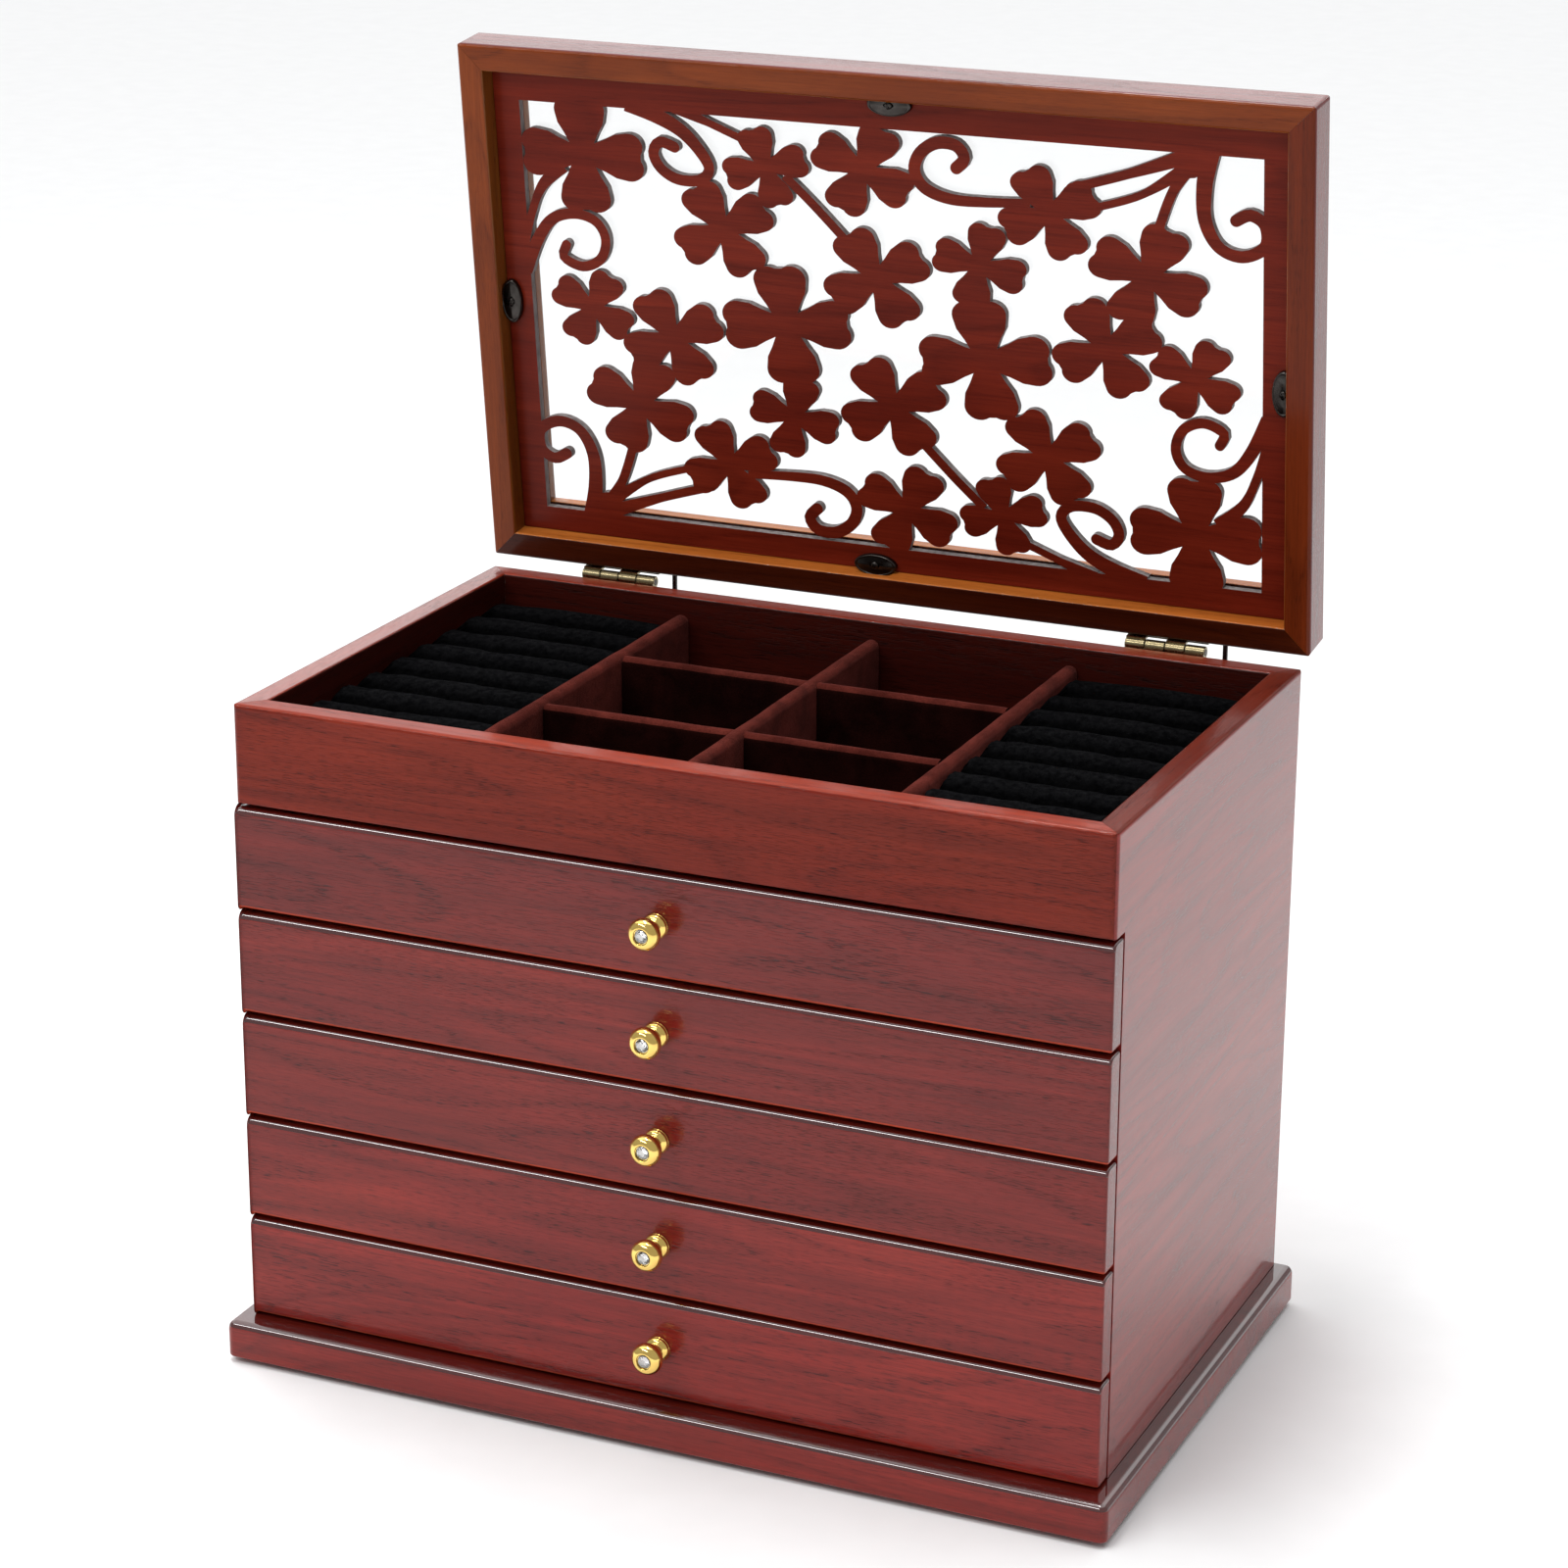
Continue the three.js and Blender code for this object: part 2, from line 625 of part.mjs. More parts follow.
// ---------------------------------------------------------------- the hinges
// A leaf with every second knuckle. up is 1 for the lid's leaf and -1 for the box's leaf;
// both are drawn closed, from the hinge axis, with x counted from the hinge's middle.
function hingeLeaf(up, firstKnuckle) {
  const plateY = -AXIS_BACK + GAP;
  const z0 = up > 0 ? LEAF_START : -LEAF_START - LEAF_H;
  const pieces = [box(-HINGE_L / 2, HINGE_L / 2, plateY, plateY + LEAF_T, z0, z0 + LEAF_H)];
  const pitch = HINGE_L / HINGE_KNUCKLES;
  for (let i = firstKnuckle; i < HINGE_KNUCKLES; i += 2) {
    const x0 = -HINGE_L / 2 + i * pitch + KNUCKLE_GAP / 2;
    const x1 = x0 + pitch - KNUCKLE_GAP;
    pieces.push(rodX(BARREL_R, x0, x1, 14));
    const web = up > 0 ? [0, LEAF_START + 1] : [-LEAF_START - 1, 0];
    pieces.push(box(x0, x1, plateY, plateY + LEAF_T, web[0], web[1]));
  }
  const bore = rodX(PIN_R + PIN_CLEARANCE, -HINGE_L, HINGE_L, 12);
  return cut(join(pieces), [bore]);
}

// A thin stop beside the hinge: it hangs from the lid's back face and hooks towards the back
// board, which it meets when the lid stands open. Drawn in the open pose, from the hinge axis.
function lidStop() {
  const top = AXIS_BACK + STOP_BACK * Math.cos((LID_OPEN * Math.PI) / 180) - GAP;
  const outline = [
    [STOP_BACK, top],
    [STOP_BACK, -STOP_DROP],
    [-AXIS_BACK + GAP, -STOP_DROP - 2],
    [-AXIS_BACK + GAP, -STOP_DROP - 2 - STOP_T],
    [STOP_BACK + STOP_T, -STOP_DROP - STOP_T],
    [STOP_BACK + STOP_T, top],
  ];
  return prismX(outline, -STOP_W / 2, STOP_W / 2);
}

function buildHinges(lid) {
  for (const [name, side] of [["left", -1], ["right", 1]]) {
    const x = side * HINGE_X;
    add(`hinge_${name}_lid_leaf`, hingeLeaf(1, 0), ANTIQUE_BRASS, lid).position.x = x;
    add(`hinge_${name}_box_leaf`, hingeLeaf(-1, 1), ANTIQUE_BRASS).position.set(x, AXIS_Y, AXIS_Z);
    const pin = rodX(PIN_R, -HINGE_L / 2, HINGE_L / 2, 12);
    add(`hinge_${name}_pin`, pin, ANTIQUE_BRASS).position.set(x, AXIS_Y, AXIS_Z);
    add(`lid_stop_${name}`, lidStop(), GUNMETAL).position.set(x + STOP_X, AXIS_Y, AXIS_Z);
  }
}

buildPlinth();
buildCase();
buildDividers();
buildRingRolls();
buildDrawers();
buildHinges(buildLid());

export default group;
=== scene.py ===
"""The look of the jewellery chest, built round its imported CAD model.

Units are metres in the row frame: +Z up, the drawers open towards -Y. Lengths written with MM are
millimetres. Lid pieces are made in the lid's own frame, lying closed with the hinge axis at the
origin, and then swung open.
"""
import json
import math

import bmesh
import bpy
from mathutils import Matrix, Quaternion, Vector, noise


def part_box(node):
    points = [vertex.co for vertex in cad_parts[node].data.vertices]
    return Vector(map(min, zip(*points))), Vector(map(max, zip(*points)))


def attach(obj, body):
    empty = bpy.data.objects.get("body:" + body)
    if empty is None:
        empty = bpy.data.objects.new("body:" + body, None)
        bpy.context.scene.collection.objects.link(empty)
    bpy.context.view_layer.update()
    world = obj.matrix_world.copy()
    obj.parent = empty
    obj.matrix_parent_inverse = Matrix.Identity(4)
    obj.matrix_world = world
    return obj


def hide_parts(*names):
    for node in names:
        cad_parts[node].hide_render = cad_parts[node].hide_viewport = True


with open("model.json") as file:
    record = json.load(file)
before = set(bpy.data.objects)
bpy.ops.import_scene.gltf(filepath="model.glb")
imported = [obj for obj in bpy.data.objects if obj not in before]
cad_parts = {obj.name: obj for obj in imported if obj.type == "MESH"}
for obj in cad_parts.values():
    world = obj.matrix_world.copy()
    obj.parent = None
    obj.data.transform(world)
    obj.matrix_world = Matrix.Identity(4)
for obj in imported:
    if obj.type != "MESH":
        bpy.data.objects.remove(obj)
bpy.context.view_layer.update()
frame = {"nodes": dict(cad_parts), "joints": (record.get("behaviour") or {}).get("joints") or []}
NODES = frame["nodes"]
MM = 0.001
GAP = 0.3 * MM  # room between pieces that lie against each other
SCENE = bpy.context.scene

HINGE = next(j for j in frame["joints"] if j["name"] == "lid_hinge")
AXIS = Vector(HINGE["pos_m"])
OPEN = math.radians(HINGE["range_deg"][1])
LID = Matrix.Translation(AXIS) @ Matrix.Rotation(-OPEN, 4, "X")


def closed_box(*names):
    """Lowest and highest corner of lid nodes, in the lid's own frame."""
    back = LID.inverted()
    points = [back @ v.co for n in names for v in NODES[n].data.vertices]
    low = Vector([min(p[i] for p in points) for i in range(3)])
    high = Vector([max(p[i] for p in points) for i in range(3)])
    return low, high


# -------------------- material helpers
class Nodes:
    """Short calls for building one node material."""

    def __init__(self, name):
        self.material = bpy.data.materials.new(name)
        self.material.use_nodes = True
        self.tree = self.material.node_tree
        self.shader = self.tree.nodes["Principled BSDF"]
        self.coordinates = self.tree.nodes.new("ShaderNodeTexCoord").outputs["Object"]

    def link(self, source, target):
        self.tree.links.new(source, target)

    def set(self, **values):
        for name, value in values.items():
            self.shader.inputs[name.replace("_", " ")].default_value = value

    def feed(self, socket, source):
        self.link(source, self.shader.inputs[socket])

    def mapped(self, scale, turn=(0, 0, 0), shift=(0, 0, 0), source=None):
        node = self.tree.nodes.new("ShaderNodeMapping")
        self.link(source or self.coordinates, node.inputs["Vector"])
        node.inputs["Scale"].default_value = scale
        node.inputs["Rotation"].default_value = turn
        node.inputs["Location"].default_value = shift
        return node.outputs["Vector"]

    def noise(self, vector, scale=1.0, detail=3.0, rough=0.5, distort=0.0):
        node = self.tree.nodes.new("ShaderNodeTexNoise")
        self.link(vector, node.inputs["Vector"])
        node.inputs["Scale"].default_value = scale
        node.inputs["Detail"].default_value = detail
        node.inputs["Roughness"].default_value = rough
        node.inputs["Distortion"].default_value = distort
        return node.outputs["Fac"]

    def ramp(self, factor, *stops):
        node = self.tree.nodes.new("ShaderNodeValToRGB")
        self.link(factor, node.inputs["Fac"])
        ramp = node.color_ramp
        while len(ramp.elements) < len(stops):
            ramp.elements.new(0.5)
        for element, (place, colour) in zip(ramp.elements, stops):
            element.position = place
            if isinstance(colour, (int, float)):
                colour = (colour, colour, colour)
            element.color = (*colour, 1)
        return node.outputs["Color"]

    def mix(self, factor, a, b):
        node = self.tree.nodes.new("ShaderNodeMix")
        node.data_type = "RGBA"
        node.clamp_factor = True
        for socket, value in ((node.inputs[0], factor), (node.inputs[6], a), (node.inputs[7], b)):
            if isinstance(value, bpy.types.NodeSocket):
                self.link(value, socket)
            elif isinstance(value, (int, float)):
                socket.default_value = value
            else:
                socket.default_value = (*value, 1)
        return node.outputs[2]

    def maths(self, operation, a, b=0.0, clamp=True):
        node = self.tree.nodes.new("ShaderNodeMath")
        node.operation = operation
        node.use_clamp = clamp
        for socket, value in zip(node.inputs, (a, b)):
            if isinstance(value, (int, float)):
                socket.default_value = value
            else:
                self.link(value, socket)
        return node.outputs["Value"]

    def bump(self, height, strength, distance, coat=False):
        node = self.tree.nodes.new("ShaderNodeBump")
        self.link(height, node.inputs["Height"])
        node.inputs["Strength"].default_value = strength
        node.inputs["Distance"].default_value = distance
        self.link(node.outputs["Normal"], self.shader.inputs["Normal"])
        if coat:
            self.link(node.outputs["Normal"], self.shader.inputs["Coat Normal"])


# -------------------- wood
def wood(
    name, shades, grain="X", turn=(0, 0, 0), seed=0.0, pores=1.0, coat=(1.0, 0.06, 1.38)
):
    """Stained open-pored wood under clear lacquer. grain is the axis the fibres run along.

    coat is the lacquer's weight, roughness and index of refraction.
    """
    dark, mid, light = shades
    n = Nodes(name)
    place = n.mapped((1, 1, 1), turn=turn, shift=(seed * 1.7, seed * 0.9, seed * 1.3))

    def along(length, across):
        scale = [1 / (across * MM)] * 3
        scale["XYZ".index(grain)] = 1 / (length * MM)
        return n.mapped(scale, source=place)

    cloud = n.noise(along(110, 50), detail=3, rough=0.55)
    bands = n.noise(along(170, 7), detail=3, rough=0.6, distort=0.5)
    fibre = n.noise(along(30, 0.8), detail=3, rough=0.65)
    spots = n.noise(along(5, 0.34), detail=1, rough=0.4)
    patches = n.noise(along(70, 16), detail=2)
    growth = n.noise(along(300, 34), detail=1, rough=0.35)
    ring = n.maths("FRACT", n.maths("MULTIPLY", growth, 11.0, clamp=False), clamp=False)
    late = n.ramp(ring, (0.5, 0.0), (0.88, 1.0), (0.98, 0.1))

    body = n.ramp(cloud, (0.3, mid), (0.72, light))
    body = n.mix(n.ramp(bands, (0.38, 0.0), (0.72, 0.45)), body, dark)
    body = n.mix(n.maths("MULTIPLY", late, 0.3), body, dark)
    body = n.mix(n.ramp(fibre, (0.32, 0.35), (0.62, 0.0)), body, dark)
    crowd = n.maths("MAXIMUM", n.ramp(patches, (0.4, 0.25), (0.66, 0.7)), late)
    open_pores = n.maths("MULTIPLY", n.ramp(spots, (0.54, 0.0), (0.66, 1.0)), crowd)
    open_pores = n.maths("MULTIPLY", open_pores, pores)
    deep = tuple(c * 0.1 for c in dark)
    colour = n.mix(n.maths("MULTIPLY", open_pores, 0.7), body, deep)
    n.feed("Base Color", colour)
    n.feed("Roughness", n.ramp(fibre, (0.3, 0.4), (0.7, 0.5)))
    height = n.maths("SUBTRACT", n.ramp(fibre, (0.3, 0.85), (0.7, 1.0)), open_pores)
    n.bump(height, 0.25 * pores, 0.0004, coat=True)
    n.set(Coat_Weight=coat[0], Coat_Roughness=coat[1], Coat_IOR=coat[2], Specular_IOR_Level=0.06)
    return n.material


# the dark, middle and light shade of each stain; some below stand for painted light or shade, as
# marked
RED = ((0.060, 0.0045, 0.0040), (0.165, 0.0105, 0.0085), (0.235, 0.0185, 0.0115))
FRONT_RED = ((0.07, 0.0045, 0.002), (0.170, 0.0120, 0.0045), (0.24, 0.024, 0.0080))
PANEL_RED = ((0.062, 0.0045, 0.0018), (0.160, 0.0125, 0.0045), (0.23, 0.023, 0.0080))
# painted light: the paler colour of faces that catch light
LIT_EDGE = ((0.12, 0.0110, 0.0050), (0.27, 0.0300, 0.0120), (0.35, 0.0440, 0.0170))
# painted shade for rounded edges
EDGE_SHADE = ((0.030, 0.0025, 0.0020), (0.075, 0.0050, 0.0035), (0.110, 0.0080, 0.0050))
# the orange of the wall round the lid's panel, scaled per rail as painted light and shade
LEDGE = ((0.32, 0.080, 0.010), (0.62, 0.165, 0.024), (0.72, 0.230, 0.040))
# painted shade for the inside of the tray
WALL_SHADE = ((0.016, 0.0020, 0.0012), (0.040, 0.0042, 0.0024), (0.060, 0.0070, 0.0038))
TAN = ((0.085, 0.0140, 0.0025), (0.20, 0.0350, 0.0050), (0.29, 0.0600, 0.0090))
RAW = ((0.20, 0.10, 0.045), (0.36, 0.21, 0.10), (0.43, 0.27, 0.14))


def toned(shades, tint):
    """The three shades multiplied by a tint, or by one number."""
    if isinstance(tint, (int, float)):
        tint = (tint, tint, tint)
    return tuple(tuple(c * k for c, k in zip(shade, tint)) for shade in shades)


def red_wood(name, grain="X", seed=0.0, pores=1.0, tone=1.0, turn=(0, 0, 0)):
    return wood(name, toned(RED, tone), grain, turn=turn, seed=seed, pores=pores)


def lit_edge_wood(name, grain, seed, tone=1.0, gloss=0.6):
    """Painted light: a paler, more orange colour for faces that catch light, the tops of the case
    boards and the lower rounded edges of the drawer fronts.
    """
    shades = toned(LIT_EDGE, tone)
    return wood(name, shades, grain, seed=seed, pores=0.7, coat=(gloss, 0.08, 1.38))


def shaded_edge_wood(name, grain, seed):
    """Painted shade on rounded edges: a darker colour under a glossier lacquer, which throws a
    stronger highlight.
    """
    return wood(name, EDGE_SHADE, grain, seed=seed, pores=0.03, coat=(1.0, 0.04, 1.9))


def shaded_wall_wood(name, grain, seed):
    """Painted shade: the dark inside of the tray."""
    return wood(name, WALL_SHADE, grain, seed=seed, coat=(0.5, 0.15, 1.38))


LID_TURN = (OPEN, 0, 0)


# -------------------- other materials
def velvet(name, deep, lit, pile, brush=70, crest=None):
    """Short dense pile: mottled where it has been brushed, with a pale rim against the light.

    crest is the pair of heights between which it goes from black to its full colour, as painted
    shade low between the rolls.
    """
    n = Nodes(name)
    brushed = n.noise(n.coordinates, scale=brush, detail=4, rough=0.6, distort=0.4)
    fuzz = n.noise(n.coordinates, scale=1800, detail=2, rough=0.7)
    colour = n.mix(n.ramp(brushed, (0.35, 0.0), (0.7, 1.0)), deep, lit)
    colour = n.mix(n.ramp(fuzz, (0.3, 0.55), (0.6, 0.0)), colour, tuple(c * 0.4 for c in deep))
    # painted shade: the colour falls to near black low between the rolls and reaches its full
    # colour near their tops
    if crest:
        steep = 3 / (crest[1] - crest[0])
        height = n.mapped((0, 0, steep), shift=(0, 0, -crest[0] * steep))
        colour = n.mix(n.ramp(height, (0.0, 0.95), (0.55, 0.75), (1.0, 0.0)), colour, (0, 0, 0))
    n.feed("Base Color", colour)
    n.bump(n.mix(0.35, fuzz, brushed), 0.7, 0.0006)
    n.set(Roughness=0.95, Specular_IOR_Level=0.0, Sheen_Weight=pile, Sheen_Roughness=0.3)
    n.set(Sheen_Tint=(*(min(1, c * 4 + 0.12) for c in lit), 1))
    return n.material


def metal(name, colour, worn, rough, grime):
    """Polished or aged metal; grime darkens it in soft patches."""
    n = Nodes(name)
    patches = n.noise(n.coordinates, scale=260, detail=4, rough=0.6)
    fine = n.noise(n.coordinates, scale=3600, detail=2)
    n.feed("Base Color", n.mix(n.ramp(patches, (0.4, 0.0), (0.75, grime)), colour, worn))
    n.feed("Roughness", n.ramp(patches, (0.3, rough), (0.75, rough * 1.7)))
    n.bump(fine, 0.05, 0.0001)
    n.set(Metallic=1.0)
    return n.material


def clear_glass():
    n = Nodes("clear_glass")
    smudge = n.noise(n.coordinates, scale=9, detail=3)
    n.feed("Roughness", n.ramp(smudge, (0.4, 0.0), (0.8, 0.004)))
    n.set(Base_Color=(0.985, 0.99, 0.99, 1), Transmission_Weight=1.0, IOR=1.45)
    return n.material


def crystal():
    n = Nodes("crystal")
    tint = n.noise(n.coordinates, scale=600, detail=1)
    n.feed("Base Color", n.ramp(tint, (0.3, 0.95), (0.7, 1.0)))
    n.set(Roughness=0.0, Transmission_Weight=1.0, IOR=1.9)
    return n.material


def cut_board():
    """The sawn edge of the fretwork panel: greyish fibre with burnt streaks."""
    n = Nodes("cut_board")
    streak = n.noise(n.mapped((500, 500, 150)), detail=3)
    n.feed("Base Color", n.ramp(streak, (0.3, (0.12, 0.085, 0.08)), (0.7, (0.29, 0.25, 0.24))))
    n.bump(streak, 0.2, 0.0002)
    n.set(Roughness=0.6)
    return n.material


def felt():
    n = Nodes("felt")
    fibres = n.noise(n.mapped((900, 260, 500)), detail=5, rough=0.7, distort=1.2)
    shade = n.ramp(fibres, (0.3, (0.012, 0.007, 0.006)), (0.7, (0.05, 0.032, 0.026)))
    n.feed("Base Color", shade)
    n.bump(fibres, 0.6, 0.0004)
    n.set(Roughness=1.0)
    return n.material


VELVET = velvet("brown_velvet", (0.052, 0.0100, 0.0075), (0.135, 0.026, 0.019), 0.5)
ROLL_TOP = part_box("ring_rolls_left")[1].z
# the rolls' black velvet, painted darker low down as shade between the rolls
BLACK_VELVET = velvet(
    "black_velvet", (0.0035, 0.0035, 0.0040), (0.0125, 0.0125, 0.0135), 0.05, 400,
    (ROLL_TOP - 7 * MM, ROLL_TOP),
)
# painted shade for the upright faces of the cross dividers
SHADED_VELVET = velvet("shaded_velvet", (0.007, 0.002, 0.0017), (0.020, 0.0045, 0.0035), 0.1)
GOLD = metal("gold", (0.98, 0.69, 0.20), (0.85, 0.50, 0.11), 0.07, 0.4)
FOIL = metal("foil", (0.55, 0.54, 0.52), (0.32, 0.31, 0.30), 0.1, 0.5)
ANTIQUE_BRASS = metal("antique_brass", (0.28, 0.23, 0.13), (0.12, 0.09, 0.045), 0.2, 0.6)
GUNMETAL = metal("gunmetal", (0.060, 0.054, 0.050), (0.025, 0.022, 0.020), 0.24, 0.7)
GLASS = clear_glass()
CRYSTAL = crystal()
CUT_BOARD = cut_board()
FELT = felt()
CARCASS = wood("carcass", RAW, seed=5.1, pores=0.5, coat=(0.2, 0.4, 1.4))


# -------------------- mesh helpers
def piece(name, bm, body, materials, replaces=(), place=None, sharp=40, weigh=True):
    """Turns a bmesh into a shown object that rides on a body."""
    if place is not None:
        bmesh.ops.transform(bm, matrix=place, verts=bm.verts)
    bmesh.ops.recalc_face_normals(bm, faces=bm.faces)
    mesh = bpy.data.meshes.new(name)
    bm.to_mesh(mesh)
    bm.free()
    for material in materials:
        mesh.materials.append(material)
    mesh.shade_smooth()
    mesh.set_sharp_from_angle(angle=math.radians(sharp))
    obj = bpy.data.objects.new(name, mesh)
    SCENE.collection.objects.link(obj)
    if weigh:
        obj.modifiers.new("face_weights", "WEIGHTED_NORMAL").keep_sharp = True
    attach(obj, body)
    if replaces:
        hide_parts(*replaces)
    return obj


def recolour(node, material):
    """Gives a CAD piece that stays in view its material."""
    materials = NODES[node].data.materials
    materials.clear()
    materials.append(material)


def filleted(corners, steps=5):
    """An outline from (x, y, radius) corners, each rounded by its radius."""
    outline = []
    for i, (x, y, radius) in enumerate(corners):
        here = Vector((x, y))
        if radius <= 0:
            outline.append(here)
            continue
        a = (Vector(corners[i - 1][:2]) - here).normalized()
        b = (Vector(corners[(i + 1) % len(corners)][:2]) - here).normalized()
        half = a.angle(b) / 2
        centre = here + (a + b).normalized() * (radius / math.sin(half))
        start = here + a * (radius / math.tan(half)) - centre
        end = here + b * (radius / math.tan(half)) - centre
        sweep = start.angle(end)
        for k in range(steps + 1):
            share = k / steps
            ahead = math.sin((1 - share) * sweep) * start + math.sin(share * sweep) * end
            outline.append(centre + ahead / math.sin(sweep))
    return outline


CORNER_STEPS = 5


def bar(section, x0, x1, corner=0.0, mitres=(True, True)):
    """A closed bar along X. section is its outline as (inset from the outer face, height).

    A mitred end slopes inwards with the inset, and the outer face curls round the corner there.
    """

    def stations(end, sign, mitred):
        if not mitred:
            return [(end, 0.0)]
        found = []
        for k in range(CORNER_STEPS + 1):
            turn = k / CORNER_STEPS * math.pi / 4
            back = corner * (1 - math.sin(turn))
            found.append((end - sign * back, corner * (1 - math.cos(turn))))
        return found

    def ring(station, end, sign, mitred):
        x_here, least = station
        points = []
        for inset, height in section:
            deep = max(inset, least)
            limit = end - sign * deep if mitred else x_here
            x = min(x_here, limit) if sign > 0 else max(x_here, limit)
            points.append(bm.verts.new((x, deep, height)))
        return points

    bm = bmesh.new()
    left = [ring(s, x0, -1, mitres[0]) for s in reversed(stations(x0, -1, mitres[0]))]
    right = [ring(s, x1, 1, mitres[1]) for s in stations(x1, 1, mitres[1])]
    skin(bm, left + right)
    bmesh.ops.remove_doubles(bm, verts=bm.verts, dist=1e-6)
    bmesh.ops.dissolve_degenerate(bm, edges=bm.edges, dist=1e-6)
    return bm


def soften(bm, radius, chosen, segments):
    """Rounds the edges whose two ends pass the test."""
    edges = [e for e in bm.edges if chosen(e) and e.calc_face_angle(0) > math.radians(20)]
    bmesh.ops.bevel(
        bm, geom=edges, offset=radius, offset_type="OFFSET", segments=segments, profile=0.5,
        affect="EDGES", clamp_overlap=True,
    )


def block(low, high):
    bm = bmesh.new()
    bmesh.ops.create_cube(bm, size=1)
    size = Matrix.Diagonal((*(high - low), 1))
    bmesh.ops.transform(bm, matrix=Matrix.Translation((low + high) / 2) @ size, verts=bm.verts)
    return bm


def merged(*meshes):
    """Several bmeshes as one, each closed on its own."""
    whole = bmesh.new()
    for bm in meshes:
        part = bpy.data.meshes.new("part")
        bm.to_mesh(part)
        bm.free()
        whole.from_mesh(part)
        bpy.data.meshes.remove(part)
    return whole


def mark(bm, test, index=1):
    """Gives one material to the faces that pass the test."""
    bmesh.ops.recalc_face_normals(bm, faces=bm.faces)
    for face in bm.faces:
        if test(face):
            face.material_index = index


def hidden_object(name, bm):
    mesh = bpy.data.meshes.new(name)
    bm.to_mesh(mesh)
    bm.free()
    obj = bpy.data.objects.new(name, mesh)
    SCENE.collection.objects.link(obj)
    return obj


def combined(first, second, operation):
    """first becomes the exact union, difference or intersection with second."""
    tool = first.modifiers.new("combine", "BOOLEAN")
    tool.solver = "EXACT"
    tool.operation = operation
    tool.object = second
    tool.use_self = True
    depsgraph = bpy.context.evaluated_depsgraph_get()
    result = bpy.data.meshes.new_from_object(first.evaluated_get(depsgraph))
    first.modifiers.remove(tool)
    first.data = result
    bpy.data.objects.remove(second)
    return first


def taken(obj):
    """The bmesh of a hidden object, which is then removed."""
    bm = bmesh.new()
    bm.from_mesh(obj.data)
    bpy.data.objects.remove(obj)
    return bm


def circle(bm, radius, height, count, shift=0.0):
    turns = [2 * math.pi * (k + shift) / count for k in range(count)]
    return [bm.verts.new((radius * math.cos(t), radius * math.sin(t), height)) for t in turns]


def skin(bm, rings):
    """Closes a form over rings of equally many points, with a flat face at each end."""
    count = len(rings[0])
    for a, b in zip(rings, rings[1:]):
        for i in range(count):
            j = (i + 1) % count
            bm.faces.new((a[i], a[j], b[j], b[i]))
    bm.faces.new(rings[0])
    bm.faces.new(rings[-1])


def lathe(profile, segments):
    """Turns (radius, height) points round Z. A point with no radius closes the form."""
    bm = bmesh.new()
    rings = []
    for radius, height in profile:
        if radius == 0:
            rings.append([bm.verts.new((0, 0, height))])
        else:
            rings.append(circle(bm, radius, height, segments))
    for a, b in zip(rings, rings[1:]):
        for k in range(segments):
            m = (k + 1) % segments
            corners = [a[k % len(a)], a[m % len(a)], b[m % len(b)], b[k % len(b)]]
            bm.faces.new(list(dict.fromkeys(corners)))
    return bm


def catmull_rom(points, steps_for):
    """A smooth line through the points; steps_for says how many steps a stretch takes."""
    line = []
    for i in range(len(points) - 1):
        p = [Vector(points[max(0, min(len(points) - 1, i + k))]) for k in (-1, 0, 1, 2)]
        steps = steps_for((p[2] - p[1]).length)
        for s in range(steps):
            t = s / steps
            place = 2 * p[1] + (p[2] - p[0]) * t
            place += (2 * p[0] - 5 * p[1] + 4 * p[2] - p[3]) * t * t
            place += (3 * p[1] - p[0] - 3 * p[2] + p[3]) * t * t * t
            line.append(0.5 * place)
    line.append(Vector(points[-1]))
    return line


# -------------------- the case
RIM_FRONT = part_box("tray_front")
CASE_LOW, CASE_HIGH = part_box("side_right")
CASE_X = CASE_HIGH.x
FRONT_Y = RIM_FRONT[0].y
BACK_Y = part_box("back_panel")[1].y
RIM_Z = CASE_HIGH.z
TRAY_Z = RIM_FRONT[0].z
BODY_Z = CASE_LOW.z
BOARD = RIM_FRONT[1].y - RIM_FRONT[0].y
SEAM = 0.05 * MM
CASE_CORNER = 2.4 * MM


def board_section(z0, z1, low_round=0.0):
    return filleted(
        [(0, z0, low_round), (0, z1, 1.7 * MM), (BOARD, z1, 1.0 * MM), (BOARD, z0, 0)]
    )


def mark_board(bm):
    """A case board's inside is painted dark as shade, and its top is painted paler as light from
    above.
    """
    mark(bm, lambda face: face.normal.y > 0.8)
    mark(bm, lambda face: face.normal.z > 0.5 and face.calc_center_median().z > RIM_Z - MM, 2)
    return bm


